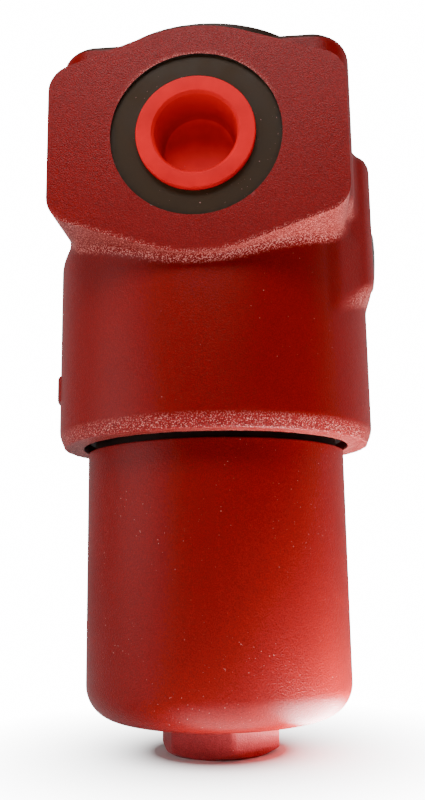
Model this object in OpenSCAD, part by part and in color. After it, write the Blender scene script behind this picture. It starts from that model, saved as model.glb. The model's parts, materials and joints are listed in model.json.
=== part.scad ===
// In-line high-pressure filter: a cast head with two ports on one axis and a screw-in bowl below it.
// The origin is the centre of the machined top face, +Z is up along the bowl axis.
// The inlet faces -Y and is closed by a push-in cup plug. The outlet faces +Y and is open.
// All sizes are in millimetres.

/* [Head casting] */
// Drop from the top face to the common axis of the two ports
port_drop = 41; // [39:0.5:46]
// Distance between the two port faces
port_span = 98; // [94:1:108]
// Width of the port flanges
flange_w = 77.6; // [74:0.2:80]
// Reach of a flange above the port axis
flange_up = 30.3; // [29:0.1:32]
// Reach of a flange below the port axis
flange_down = 31.8; // [30:0.1:33]
// Thickness of a flange in front of the block
flange_t = 11; // [8:0.5:13]
// Slope of the flange shoulders, in degrees
flange_slope = 20; // [16:1:22]
// Radius of the flange's crown
flange_crown_r = 30; // [26:0.5:32]
// Radius of the flange's corners
flange_corner_r = 7; // [4:0.5:9]
// Width of the block between the flanges
block_w = 83; // [80:0.5:88]
// Step from the top face down to the block's top
block_step = 7; // [4:0.5:9]
// Drop from the port axis to the block's underside
block_drop = 16; // [12:0.5:20]
// Radius of the block's upright corners
block_corner_r = 10; // [6:0.5:14]
// Radius of the block's top edges
block_edge_r = 5; // [3:0.5:6]
// Diameter of the machined top face
top_face_d = 70.6; // [66:0.2:74]
// Diameter of the skirt that takes the bowl
skirt_d = 91.3; // [90:0.1:96]
// Drop from the port axis to the skirt's lower edge
skirt_drop = 76.1; // [76:0.1:80]
// Radius of the shoulder where the skirt ends below the block
skirt_shoulder_r = 12; // [8:0.5:14]
// Drop from the port axis to the top of the skirt's shoulder
skirt_top_drop = 12; // [8:0.5:16]
// Radial width of the chamfer on the skirt's lower edge
skirt_chamfer_w = 2.6; // [1.5:0.1:3.5]
// Height of that chamfer
skirt_chamfer_h = 3.5; // [2:0.1:5]
// Radius at the foot of the machined top
top_fillet_r = 4; // [2:0.5:5]
// Height of the raised flow arrows
arrow_h = 11.6; // [8:0.2:14]
// Length of the raised flow arrows
arrow_len = 30; // [20:1:34]
// Relief of the raised flow arrows
arrow_relief = 0.8; // [0.5:0.1:1.2]

/* [Ports] */
// Major diameter of the port thread
port_thread_d = 26.44; // [24:0.01:28]
// Depth of the port thread below its spotface
port_thread_len = 20; // [16:0.5:21]
// Diameter of the machined spotface
spot_d = 44.7; // [40:0.1:48]
// Depth of the spotface
spot_depth = 0.8; // [0.4:0.1:1.5]
// Diameter of the galleries behind the ports
gallery_d = 21; // [16:0.5:22]
// Diameter of the drilling from the inlet down to the bowl
inlet_drill_d = 15; // [11:0.5:16]
// Distance of that drilling from the bowl axis
inlet_drill_y = 22; // [21:0.5:24]
// Diameter of the bore from the spigot up to the outlet
outlet_bore_d = 18; // [14:0.5:18]
// Thickness of the web between the inlet gallery and the outlet bore
gallery_web = 6; // [4:0.5:8]
// Depth of the tapped holes in the top face
top_hole_depth = 13; // [8:0.5:14]
// Diameter of the tapped holes in the top face
top_hole_d = 8; // [5:0.5:8]
// Spacing of the tapped holes along X and along Y
top_hole_spacing = 36; // [30:0.5:40]

/* [Indicator boss] */
// Distance of the boss face from the bowl axis
boss_reach = 47.6; // [47:0.1:52]
// Half width of the boss face
boss_face_w = 15; // [12:0.5:20]
// Half width of the boss where it meets the skirt
boss_root_w = 31; // [26:0.5:34]
// Reach of the boss above the port axis
boss_up = 2; // [0:0.5:6]
// Drop from the port axis to the lower edge of the boss face
boss_face_down = 33; // [31:0.5:38]
// Drop from the port axis to the foot of the boss
boss_foot_down = 45; // [40:0.5:50]
// Radius of the boss edges
boss_edge_r = 4; // [1:0.5:5]
// Drop from the port axis to the axis of the blanking plug
boss_drop = 20; // [18:0.5:22]
// Major diameter of the blanking plug's thread
blank_thread_d = 13.16; // [10:0.01:16]
// Length of the blanking plug's thread
blank_thread_len = 11; // [8:0.5:13]
// Diameter of the blanking plug's flange
blank_flange_d = 19; // [17:0.5:21]
// Thickness of the blanking plug's flange
blank_flange_t = 3; // [2:0.1:4]
// Stand of the blanking plug's flange above the boss face
blank_stand = 0.8; // [0.2:0.1:1.5]
// Width across flats of the blanking plug's socket
blank_socket_af = 6; // [4:0.5:8]
// Depth of the blanking plug's socket
blank_socket_depth = 5; // [3:0.5:7]
// Thickness of the sealing ring under the flange
blank_seal_t = 1.2; // [0.8:0.1:1.6]
// Diameter of the two pressure drillings behind the plug
sense_drill_d = 4; // [2:0.5:5]

/* [Bowl] */
// Outside diameter of the bowl
bowl_d = 74.6; // [73:0.1:76]
// Wall of the bowl
bowl_wall = 8.3; // [6.5:0.1:8.5]
// Thickness of the bowl's floor
bowl_floor = 8.5; // [6:0.5:12]
// Drop from the skirt's lower edge to the bowl's floor outside
bowl_hang = 74.4; // [70:0.1:90]
// Radius of the bowl's lower edge
bowl_round_r = 11; // [6:0.5:14]
// Depth of the bowl's seat above the skirt's lower edge
seat_depth = 9.1; // [6:0.1:11]
// Radial gap between the bowl and the skirt's mouth
mouth_gap = 1.3; // [0.8:0.1:1.8]
// Width across flats of the spanner hexagon
hex_af = 30; // [24:1:36]
// Height of the spanner hexagon
hex_h = 9.5; // [7:0.5:14]
// Turn of a corner of the hexagon from the inlet side towards +X, in degrees
hex_turn = 16.7; // [0:0.1:60]
// Radial step from the bowl's body in to its thread
thread_step = 1.9; // [1.5:0.1:2.4]
// Length of the bowl's thread
thread_len = 19; // [14:0.5:21]
// Radial step from the thread in to the sealing land
land_step = 1.15; // [0.8:0.05:1.4]
// Length of the sealing land
land_len = 12; // [10:0.5:13]
// Radial clearance of the threads and of the sealing land
run_gap = 0.05; // [0.02:0.01:0.08]

/* [Bowl seal] */
// Thickness of the O-ring, as squeezed in its groove
bowl_oring_d = 2.9; // [2.4:0.1:3.2]
// Thickness of the back-up ring
backup_t = 1.5; // [1:0.1:2]
// Distance from the neck's end to the seal groove
seal_groove_top = 3; // [2:0.5:4]

/* [Filter element] */
// Drop from the port axis to the roof of the bowl chamber
roof_drop = 31; // [30:0.5:33]
// Outside diameter of the spigot that carries the element
spigot_d = 22; // [20:0.5:24]
// Length of the spigot below its collar
spigot_len = 17; // [15:0.5:20]
// Diameter of the spigot's collar
spigot_collar_d = 28; // [26:0.5:30]
// Thickness of the spigot's collar
spigot_collar_t = 4; // [3:0.5:5]
// Diameter of the spigot's thread in the head
spigot_thread_d = 22; // [20:0.5:24]
// Length of the spigot's thread in the head
spigot_thread_len = 9; // [8:0.5:10]
// Bore of the spigot
spigot_bore_d = 16; // [12:0.5:16]
// Thickness of the spigot's O-ring, as squeezed in its groove
spigot_oring_d = 1.9; // [1.4:0.1:2.2]
// Gap between the spigot's collar and the element's top cap
cap_gap = 2; // [1:0.5:3]
// Outside diameter of the element's end caps
element_d = 45; // [40:0.5:47]
// Gap between the element's lower cap and the bowl's floor
element_floor_gap = 3; // [2:0.5:5]
// Thickness of an end cap
cap_t = 2; // [1.5:0.1:3]
// Depth of an end cap's rim
cap_rim = 6; // [4:0.5:8]
// Wall of an end cap's rim
cap_wall = 1; // [0.8:0.1:1.2]
// Depth of the collar in the top cap that slides on the spigot
cap_collar = 11; // [9:0.5:13]
// Number of pleats in the filter medium
pleats = 40; // [24:1:42]
// Thickness of the pleated filter medium
medium_t = 0.7; // [0.4:0.1:0.7]
// Outside diameter of the core tube
core_d = 26; // [25:0.5:28]
// Wall of the core tube
core_wall = 0.8; // [0.6:0.1:1]
// Diameter of the holes in the core tube
core_hole_d = 4; // [2:0.5:5]
// Holes round the core tube
core_holes = 8; // [4:2:10]
// Rows of holes along the core tube
core_rows = 9; // [4:1:12]
// Thickness of the net round the pleats
net_t = 0.7; // [0.5:0.1:0.8]
// Upright bars in the net
net_bars = 16; // [8:1:24]
// Rings in the net
net_rings = 7; // [3:1:12]

/* [Bypass valve] */
// Distance of the valve from the bowl axis
valve_y = 21; // [20.5:0.5:22]
// Diameter of the valve's cage
valve_d = 14; // [12.5:0.5:14]
// Length of the valve's cage
valve_len = 22; // [20:0.5:23]
// Wall of the valve's cage
cage_wall = 1.5; // [1.3:0.1:1.6]
// Height of the valve's seat ring
seat_h = 4; // [3:0.5:5]
// Bore of the valve's seat ring
seat_bore_d = 7; // [5:0.5:7.5]
// Thickness of the poppet's head
poppet_h = 4; // [3:0.5:5]
// Lift of the poppet
poppet_lift = 4; // [2:0.5:4.5]
// Radial clearance of the poppet in its cage
poppet_gap = 0.3; // [0.2:0.05:0.4]
// Wire of the valve's spring
spring_wire_d = 1; // [0.7:0.1:1.2]
// Mean diameter of the valve's spring
spring_d = 7; // [6:0.1:7.2]
// Turns of the valve's spring
spring_turns = 4; // [3:0.5:5]
// Thickness of the spring's retainer
retainer_t = 1.5; // [1:0.1:2]
// Thickness of the retaining ring
circlip_t = 1; // [0.8:0.1:1.2]
// Depth of the retaining ring's groove
circlip_depth = 0.8; // [0.6:0.1:1]

/* [Inlet plug] */
// Diameter of the plug's flange
plug_flange_d = 31.1; // [29:0.1:34]
// Thickness of the plug's flange
plug_flange_t = 1.8; // [1.2:0.1:2.5]
// Diameter of the plug's recess at its mouth
plug_mouth_d = 23; // [21:0.1:23.2]
// Depth of the plug's recess
plug_recess = 12; // [9:0.5:14]
// Taper of the recess, as the difference of its radius from mouth to floor
plug_taper = 1.6; // [1:0.1:2.2]
// Radius inside the floor of the recess
plug_floor_r = 2.4; // [1:0.1:3]
// Wall of the plug
plug_wall = 1.2; // [1:0.1:1.5]
// Number of gripping ribs round the plug's body
plug_ribs = 3; // [1:1:4]

/* [Hidden] */

$fn = 96;
// Small overlap that lets cuts run past a face
eps = 0.01;
// Gap between pieces that are pressed or screwed together
snug = 0.02;
// The flange's shoulders run in this far under its crown, so that they cross the arc and don't only touch it
crown_dip = 0.03;

// Levels along the bowl axis, measured from the top face
port_z = -port_drop;
block_top_z = -block_step;
block_end_z = port_z - block_drop;
skirt_z = port_z - skirt_drop;
seat_z = skirt_z + seat_depth;
roof_z = port_z - roof_drop;
boss_z = port_z - boss_drop;
floor_z = skirt_z - bowl_hang;
foot_z = floor_z - hex_h;
cavity_z = floor_z + bowl_floor;
land_z = seat_z + thread_len;
neck_z = land_z + land_len;
shoulder_z = port_z - skirt_top_drop;

// Radii that follow from the bowl
bowl_r = bowl_d / 2;
cavity_r = bowl_r - bowl_wall;
thread_r = bowl_r - thread_step;
land_r = thread_r - land_step;
mouth_r = bowl_r + mouth_gap;
seal_bore_r = land_r + run_gap;
thread_bore_r = thread_r + run_gap;
groove_r = seal_bore_r - bowl_oring_d - 2 * run_gap;
groove_top_z = neck_z - seal_groove_top;
groove_w = bowl_oring_d + backup_t + 0.6;
oring_z = groove_top_z - bowl_oring_d / 2 - 0.2;
backup_z = groove_top_z - groove_w;

// Levels of the spigot and the filter element
collar_z = roof_z - spigot_collar_t;
spigot_end_z = collar_z - spigot_len;
element_top_z = collar_z - cap_gap;
element_end_z = cavity_z + element_floor_gap;
spigot_r = spigot_d / 2;
spigot_groove_w = spigot_oring_d + 0.5;
spigot_groove_z = element_top_z - cap_collar / 2;
spigot_bearing_r = spigot_r + run_gap;
medium_top_z = element_top_z - cap_t;
medium_end_z = element_end_z + cap_t;
core_r = core_d / 2;
net_r = element_d / 2 - cap_wall - snug;
pleat_out_r = net_r - net_t - 0.1;
pleat_in_r = core_r + 0.1;

// Levels of the bypass valve
valve_r = valve_d / 2;
cage_r = valve_r - snug;
cage_in_r = valve_r - cage_wall;
cage_z = roof_z + seat_h;
cage_end_z = roof_z + valve_len;
poppet_r = cage_in_r - poppet_gap;
circlip_z = cage_end_z - circlip_t - 1;
retainer_z = circlip_z - retainer_t;
spring_z = cage_z + poppet_h;

// Port levels, measured along Y
port_y = port_span / 2;
spot_y = port_y - spot_depth;
block_half_d = port_y - flange_t;
thread_end_y = spot_y - port_thread_len;
inlet_end_y = outlet_bore_d / 2 + gallery_web;

// Sizes of the blanking plug
blank_seat_x = boss_reach + blank_stand - blank_flange_t - blank_seal_t;
blank_hole_end_x = blank_seat_x - blank_thread_len - 8;

// Sizes of the inlet plug
plug_face_y = -spot_y - plug_flange_t;
plug_mouth_r = plug_mouth_d / 2;
plug_floor_rad = plug_mouth_r - plug_taper;
plug_body_r = plug_mouth_r + 0.3;

module cylinder_y(r, y0, y1) {
  translate([0, y0, 0]) rotate([-90, 0, 0]) cylinder(r = r, h = y1 - y0);
}

module cylinder_x(r, x0, x1) {
  translate([x0, 0, 0]) rotate([0, 90, 0]) cylinder(r = r, h = x1 - x0);
}

module ring(r_out, r_in, z0, z1) {
  translate([0, 0, z0]) difference() {
    cylinder(r = r_out, h = z1 - z0);
    translate([0, 0, -1]) cylinder(r = r_in, h = z1 - z0 + 2);
  }
}

module torus(r, section_r, z) {
  translate([0, 0, z]) rotate_extrude() translate([r, 0]) circle(r = section_r, $fn = 32);
}

// One half of the flange outline, from the widest point up over the shoulder to the crown
module bow_half(reach) {
  crown_z = reach - flange_crown_r;
  corner_x = flange_w / 2 - flange_corner_r;
  tangent = [flange_crown_r * sin(flange_slope), crown_z + flange_crown_r * cos(flange_slope) - crown_dip];
  fall = flange_corner_r + sin(flange_slope) * (corner_x - tangent[0]);
  corner_z = tangent[1] - fall / cos(flange_slope);
  shoulder = [corner_x + flange_corner_r * sin(flange_slope), corner_z + flange_corner_r * cos(flange_slope)];
  for (side = [-1, 1]) translate([side * corner_x, corner_z]) circle(r = flange_corner_r);
  translate([0, crown_z]) circle(r = flange_crown_r);
  polygon([
    [flange_w / 2, -1], [flange_w / 2, corner_z], shoulder, tangent,
    [-tangent[0], tangent[1]], [-shoulder[0], shoulder[1]], [-flange_w / 2, corner_z], [-flange_w / 2, -1]
  ]);
}

// The flange outline in the plane of X and Z, about the port axis
module bow() {
  bow_half(flange_up);
  mirror([0, 1]) bow_half(flange_down);
}

// One outline carried along the port axis makes both flanges and the barrel that joins them
module port_barrel() {
  translate([0, port_y, port_z]) rotate([90, 0, 0]) linear_extrude(height = port_span) bow();
}

module rounded_rect(w, d, r) {
  square([w - 2 * r, d], center = true);
  square([w, d - 2 * r], center = true);
  for (x = [-1, 1], y = [-1, 1]) translate([x * (w / 2 - r), y * (d / 2 - r)]) circle(r = r);
}

// The block between the flanges: upright sides, round corners and round upper and lower edges
module block() {
  height = block_top_z - block_end_z;
  mid_z = (block_top_z + block_end_z) / 2;
  intersection() {
    translate([0, 0, block_end_z]) linear_extrude(height = height)
      rounded_rect(block_w, 2 * block_half_d, block_corner_r);
    translate([0, block_half_d + 1, mid_z]) rotate([90, 0, 0])
      linear_extrude(height = 2 * block_half_d + 2) rounded_rect(block_w, height, block_edge_r);
    translate([-block_w / 2 - 1, 0, mid_z]) rotate([90, 0, 90])
      linear_extrude(height = block_w + 2) rounded_rect(2 * block_half_d, height, block_edge_r);
  }
}

// The skirt is turned: chamfered foot, plain wall and a rounded shoulder under the block
module skirt() {
  skirt_r = skirt_d / 2;
  rotate_extrude() {
    polygon([
      [0, skirt_z], [skirt_r - skirt_chamfer_w, skirt_z], [skirt_r, skirt_z + skirt_chamfer_h],
      [skirt_r, shoulder_z - skirt_shoulder_r], [skirt_r - skirt_shoulder_r, shoulder_z - skirt_shoulder_r],
      [skirt_r - skirt_shoulder_r, shoulder_z], [0, shoulder_z]
    ]);
    intersection() {
      translate([skirt_r - skirt_shoulder_r, shoulder_z - skirt_shoulder_r]) circle(r = skirt_shoulder_r);
      translate([skirt_r - skirt_shoulder_r, shoulder_z - skirt_shoulder_r]) square(skirt_shoulder_r);
    }
  }
}

// The round machined top, with a small chamfer and a cast fillet at its foot
module top_boss() {
  r = top_face_d / 2;
  foot = min(top_fillet_r, block_step - 2);
  rotate_extrude() difference() {
    polygon([
      [0, block_top_z - 1], [r + foot, block_top_z - 1], [r + foot, block_top_z],
      [r + foot, block_top_z + foot], [r, block_top_z + foot], [r, -1], [r - 1, 0], [0, 0]
    ]);
    translate([r + foot, block_top_z + foot]) circle(r = foot);
  }
}

// Rounds the outward corners of an outline
module eased(r) {
  offset(r = r, $fn = 32) offset(delta = -r) children();
}

// The boss on the right side that takes a pressure indicator or a blanking plug.
// Its plan tapers out of the skirt to a flat face, and its side view slopes back at the foot.
module side_boss() {
  root_x = sqrt(pow(skirt_d / 2, 2) - pow(boss_root_w, 2));
  foot_z = port_z - boss_foot_down;
  top_z = port_z + boss_up;
  intersection() {
    translate([0, 0, foot_z]) linear_extrude(height = top_z - foot_z) eased(boss_edge_r) polygon([
      [0, -boss_root_w], [root_x, -boss_root_w], [boss_reach, -boss_face_w],
      [boss_reach, boss_face_w], [root_x, boss_root_w], [0, boss_root_w]
    ]);
    translate([0, boss_root_w + 1, 0]) rotate([90, 0, 0]) linear_extrude(height = 2 * boss_root_w + 2)
      eased(boss_edge_r) polygon([
        [0, foot_z], [root_x, foot_z], [boss_reach, port_z - boss_face_down], [boss_reach, top_z], [0, top_z]
      ]);
  }
}

// A plain arrow outline that points along +X
module arrow_outline(length, height) {
  head = height * 0.9;
  shaft = height * 0.38;
  polygon([
    [-length / 2, -shaft / 2], [length / 2 - head, -shaft / 2], [length / 2 - head, -height / 2],
    [length / 2, 0], [length / 2 - head, height / 2], [length / 2 - head, shaft / 2], [-length / 2, shaft / 2]
  ]);
}

// A raised arrow on the left of the skirt shows the way from the inlet to the outlet
module skirt_arrow() {
  arrow_z = seat_z + arrow_h / 2 + 4;
  intersection() {
    ring(skirt_d / 2 + arrow_relief, skirt_d / 2 - 1, arrow_z - arrow_h, arrow_z + arrow_h);
    translate([0, 0, arrow_z]) rotate([90, 0, -90]) linear_extrude(height = skirt_d)
      mirror([1, 0]) arrow_outline(arrow_len, arrow_h);
  }
}

// A smaller raised arrow on the right of the block, above the boss
module block_arrow() {
  arrow_z = (block_top_z + port_z + boss_up) / 2;
  translate([block_w / 2 - 1, 0, arrow_z]) rotate([90, 0, 90])
    linear_extrude(height = 1 + arrow_relief) arrow_outline(arrow_len * 0.8, arrow_h * 0.7);
}

// One port: spotface, thread bore and gallery, cut towards +Y
module port_cut(gallery_end_y) {
  translate([0, 0, port_z]) {
    cylinder_y(spot_d / 2, spot_y, port_y + 1);
    cylinder_y(port_thread_d / 2, thread_end_y, spot_y + eps);
    cylinder_y(gallery_d / 2, gallery_end_y, thread_end_y + eps);
  }
}

// The turned hollow for the bowl: mouth, thread bore, lead-in and sealing bore
module bowl_cut() {
  rotate_extrude() polygon([
    [0, skirt_z - 1], [mouth_r, skirt_z - 1], [mouth_r, seat_z], [thread_bore_r, seat_z],
    [thread_bore_r, land_z - land_step], [seal_bore_r, land_z], [seal_bore_r, roof_z], [0, roof_z]
  ]);
}

// The hole for the blanking plug and the two drillings that lead the pressures to it
module indicator_cut() {
  translate([0, 0, boss_z]) {
    cylinder_x(blank_flange_d / 2 + 1.5, blank_seat_x, boss_reach + 1);
    cylinder_x(blank_thread_d / 2, blank_hole_end_x, blank_seat_x + eps);
    cylinder_x(sense_drill_d / 2, 0, blank_hole_end_x + eps);
  }
  translate([blank_hole_end_x + 0.75 * sense_drill_d, 0, roof_z - 1])
    cylinder(d = sense_drill_d, h = boss_z - roof_z + 1);
}

module top_hole_cut() {
  for (x = [-1, 1], y = [-1, 1])
    translate([x * top_hole_spacing / 2, y * top_hole_spacing / 2, -top_hole_depth])
      cylinder(d = top_hole_d, h = top_hole_depth + 1);
}

module head() {
  color("firebrick") difference() {
    union() {
      port_barrel();
      block();
      skirt();
      top_boss();
      side_boss();
      skirt_arrow();
      block_arrow();
    }
    port_cut(0);
    mirror([0, 1, 0]) port_cut(inlet_end_y);
    translate([0, -inlet_drill_y, roof_z - 1]) cylinder(d = inlet_drill_d, h = port_z - roof_z + 1);
    translate([0, 0, roof_z - 1]) cylinder(d = outlet_bore_d, h = port_z - roof_z + 1);
    translate([0, 0, roof_z - 1]) cylinder(d = spigot_thread_d, h = spigot_thread_len + 2.5);
    translate([0, valve_y, roof_z - 1]) cylinder(r = valve_r, h = valve_len + gallery_d / 4 + 1);
    bowl_cut();
    indicator_cut();
    top_hole_cut();
  }
}

// The bowl is turned from one piece, with a milled hexagon under its floor
module bowl() {
  inner_round = min(bowl_round_r - 4, cavity_r / 2);
  color("firebrick") difference() {
    union() {
      rotate_extrude() {
        polygon([
          [0, floor_z], [bowl_r - bowl_round_r, floor_z], [bowl_r - bowl_round_r, floor_z + bowl_round_r],
          [bowl_r, floor_z + bowl_round_r], [bowl_r, seat_z], [thread_r, seat_z],
          [thread_r, land_z - land_step - 1], [land_r, land_z - 1], [land_r, neck_z - 1], [land_r - 1, neck_z],
          [0, neck_z]
        ]);
        translate([bowl_r - bowl_round_r, floor_z + bowl_round_r]) circle(r = bowl_round_r);
      }
      hexagon();
    }
    rotate_extrude() {
      polygon([
        [0, cavity_z], [cavity_r - inner_round, cavity_z], [cavity_r - inner_round, cavity_z + inner_round],
        [cavity_r, cavity_z + inner_round], [cavity_r, neck_z + 1], [0, neck_z + 1]
      ]);
      translate([cavity_r - inner_round, cavity_z + inner_round]) circle(r = inner_round);
    }
    ring(land_r + 1, groove_r, backup_z, groove_top_z);
  }
}

// The spanner hexagon, with its lower corners turned off at 30 degrees
module hexagon() {
  corner_r = hex_af / sqrt(3);
  turned = corner_r - hex_af / 2 + 0.8;
  intersection() {
    translate([0, 0, foot_z]) rotate([0, 0, hex_turn - 90]) cylinder(r = corner_r, h = hex_h + 1, $fn = 6);
    rotate_extrude() polygon([
      [0, foot_z], [corner_r - turned, foot_z], [corner_r, foot_z + turned * tan(30)],
      [corner_r, floor_z + 1], [0, floor_z + 1]
    ]);
  }
}

module bowl_oring() {
  section_r = bowl_oring_d / 2;
  color("#1c1c1e") torus(groove_r + run_gap + section_r, section_r, oring_z);
}

module bowl_backup_ring() {
  color("ivory") ring(seal_bore_r - run_gap, groove_r + run_gap, backup_z, backup_z + backup_t);
}

// The spigot is a turned nipple screwed into the head: thread, collar and sealing end
module spigot() {
  color("silver") difference() {
    rotate_extrude() polygon([
      [0, spigot_end_z], [spigot_r - 1, spigot_end_z], [spigot_r, spigot_end_z + 1], [spigot_r, collar_z],
      [spigot_collar_d / 2, collar_z], [spigot_collar_d / 2, roof_z], [spigot_thread_d / 2 - snug, roof_z],
      [spigot_thread_d / 2 - snug, roof_z + spigot_thread_len], [0, roof_z + spigot_thread_len]
    ]);
    translate([0, 0, spigot_end_z - 1]) cylinder(d = spigot_bore_d, h = roof_z + spigot_thread_len - spigot_end_z + 2);
    ring(
      spigot_r + 1, spigot_bearing_r - spigot_oring_d - run_gap,
      spigot_groove_z - spigot_groove_w / 2, spigot_groove_z + spigot_groove_w / 2
    );
  }
}

module spigot_oring() {
  section_r = spigot_oring_d / 2;
  color("#1c1c1e") torus(spigot_bearing_r - section_r - run_gap / 2, section_r - run_gap / 4, spigot_groove_z);
}

// The top cap: a disc with a rim over the pleats and a collar that slides on the spigot
module element_top_cap() {
  color("lightgray") difference() {
    union() {
      difference() {
        translate([0, 0, element_top_z - cap_rim]) cylinder(d = element_d, h = cap_rim);
        translate([0, 0, element_top_z - cap_rim - 1]) cylinder(d = element_d - 2 * cap_wall, h = cap_rim + 1 - cap_t);
      }
      translate([0, 0, element_top_z - cap_collar]) cylinder(r = core_r - core_wall - snug, h = cap_collar);
    }
    translate([0, 0, element_top_z - cap_collar - 1]) cylinder(r = spigot_bearing_r, h = cap_collar + 2);
  }
}

// The lower cap is closed and has a raised ring that centres the core tube
module element_bottom_cap() {
  inner_r = core_r - core_wall - snug;
  color("lightgray") {
    translate([0, 0, element_end_z]) difference() {
      cylinder(d = element_d, h = cap_rim);
      translate([0, 0, cap_t]) cylinder(d = element_d - 2 * cap_wall, h = cap_rim);
    }
    ring(inner_r, inner_r - 1.5, element_end_z + cap_t - eps, element_end_z + cap_rim);
  }
}

// Outline of the pleats: every pleat has a narrow flat tip and meets the next in a narrow flat root
module pleat_outline(tip_r, root_r, tip_half_w, root_half_w) {
  pitch = 360 / pleats;
  tip = asin(tip_half_w / tip_r);
  root = asin(root_half_w / root_r);
  polygon([for (i = [0 : pleats - 1]) each [
    for (corner = [[root_r, root - pitch / 2], [tip_r, -tip], [tip_r, tip], [root_r, pitch / 2 - root]])
      let (a = i * pitch + corner[1]) [corner[0] * cos(a), corner[0] * sin(a)]
  ]]);
}

// The medium is one pleated wall, closed into a ring: the outer outline less the same one a wall further in
module element_medium() {
  fold_gap = (PI * pleat_in_r / pleats - medium_t) / 2;
  color("wheat") translate([0, 0, medium_end_z]) linear_extrude(height = medium_top_z - medium_end_z) difference() {
    pleat_outline(pleat_out_r, pleat_in_r + medium_t, medium_t + fold_gap, fold_gap);
    pleat_outline(pleat_out_r - medium_t, pleat_in_r, fold_gap, medium_t + fold_gap);
  }
}

// The core tube with its rows of holes, every other row turned by half a pitch
module element_core() {
  length = medium_top_z - medium_end_z;
  pitch = (length - 2 * cap_rim) / core_rows;
  color("silver") difference() {
    ring(core_r, core_r - core_wall, medium_end_z, medium_top_z);
    for (row = [0 : core_rows - 1], i = [0 : core_holes / 2 - 1])
      translate([0, 0, medium_end_z + cap_rim + (row + 0.5) * pitch])
        rotate([90, 0, 360 / core_holes * (i + (row % 2) / 2)])
          cylinder(d = core_hole_d, h = core_d + 2, center = true, $fn = 24);
  }
}

// The net round the pleats: upright bars joined by rings
module element_net() {
  z0 = medium_end_z;
  length = medium_top_z - medium_end_z;
  bar_w = 1.2;
  ring_h = 1.4;
  color("whitesmoke") {
    intersection() {
      ring(net_r, net_r - net_t, z0, z0 + length);
      for (i = [0 : net_bars - 1])
        rotate([0, 0, 360 / net_bars * i]) translate([0, -bar_w / 2, z0]) cube([element_d, bar_w, length]);
    }
    for (i = [0 : net_rings - 1])
      translate([0, 0, z0 + (length - ring_h) * i / (net_rings - 1)]) ring(net_r, net_r - net_t, 0, ring_h);
  }
}

// The seat ring is pressed into the roof of the bowl chamber, with a conical seat on top
module bypass_seat() {
  seat_r = seat_bore_d / 2;
  color("silver") translate([0, valve_y, 0]) rotate_extrude() polygon([
    [seat_r, roof_z], [cage_r, roof_z], [cage_r, cage_z], [seat_r + 0.8, cage_z], [seat_r, cage_z - 0.8]
  ]);
}

// The cage guides the poppet and holds the retaining ring in a groove
module bypass_cage() {
  color("silver") translate([0, valve_y, 0]) difference() {
    ring(cage_r, cage_in_r, cage_z, cage_end_z);
    ring(cage_in_r + circlip_depth, cage_in_r - 1, circlip_z, circlip_z + circlip_t);
  }
}

// The poppet: a cone on the seat, a guided head and a recess for the spring
module bypass_poppet() {
  seat_r = seat_bore_d / 2;
  recess_r = spring_d / 2 + spring_wire_d / 2 + 0.3;
  notch_d = 1.4;
  color("goldenrod") translate([0, valve_y, 0]) difference() {
    rotate_extrude() polygon([
      [0, cage_z - 1.6], [seat_r - 0.9, cage_z - 1.6], [seat_r + 0.7, cage_z],
      [poppet_r, cage_z], [poppet_r, spring_z + 1.5], [0, spring_z + 1.5]
    ]);
    translate([0, 0, spring_z]) cylinder(r = recess_r, h = 3);
    for (i = [0 : 3]) rotate([0, 0, 45 + 90 * i])
      translate([poppet_r, 0, cage_z - 1]) cylinder(d = notch_d, h = poppet_h + 4);
  }
}

// One cross-section of the spring's wire at turn t, with the first and last turn closed flat
function coil_rise(t) =
  let (closed = 0.5, free = spring_turns - 2 * closed)
  min(max(t - closed, 0), free) / free;

function coil_ring(t, sides, z0, z1) =
  [for (j = [0 : sides - 1])
    let (a = 360 * t, b = 360 * j / sides, r = spring_d / 2 + spring_wire_d / 2 * cos(b))
    [r * cos(a), r * sin(a), z0 + (z1 - z0) * coil_rise(t) + spring_wire_d / 2 * sin(b)]];

module bypass_spring() {
  sides = 8;
  steps = 20 * spring_turns;
  z0 = spring_z + spring_wire_d / 2;
  z1 = retainer_z - spring_wire_d / 2;
  points = [for (i = [0 : steps]) each coil_ring(i * spring_turns / steps, sides, z0, z1)];
  walls = [for (i = [0 : steps - 1], j = [0 : sides - 1])
    [i * sides + j, (i + 1) * sides + j, (i + 1) * sides + (j + 1) % sides, i * sides + (j + 1) % sides]];
  color("dimgray") translate([0, valve_y, 0])
    polyhedron(points, concat(walls, [[for (j = [0 : sides - 1]) j], [for (j = [sides - 1 : -1 : 0]) steps * sides + j]]));
}

// The retainer is a disc with a centre hole and four flow holes
module bypass_retainer() {
  color("silver") translate([0, valve_y, retainer_z]) difference() {
    cylinder(r = cage_in_r - snug, h = retainer_t);
    translate([0, 0, -1]) cylinder(r = 1.6, h = retainer_t + 2);
    for (i = [0 : 3]) rotate([0, 0, 45 + 90 * i])
      translate([cage_in_r, 0, -1]) cylinder(d = 3, h = retainer_t + 2);
  }
}

module bypass_circlip() {
  color("dimgray") translate([0, valve_y, 0]) difference() {
    ring(cage_in_r + circlip_depth - snug, cage_in_r - 1.1, circlip_z + snug, circlip_z + circlip_t - snug);
    translate([0, -1.5, circlip_z - 1]) cube([valve_r, 3, circlip_t + 2]);
  }
}

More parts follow.
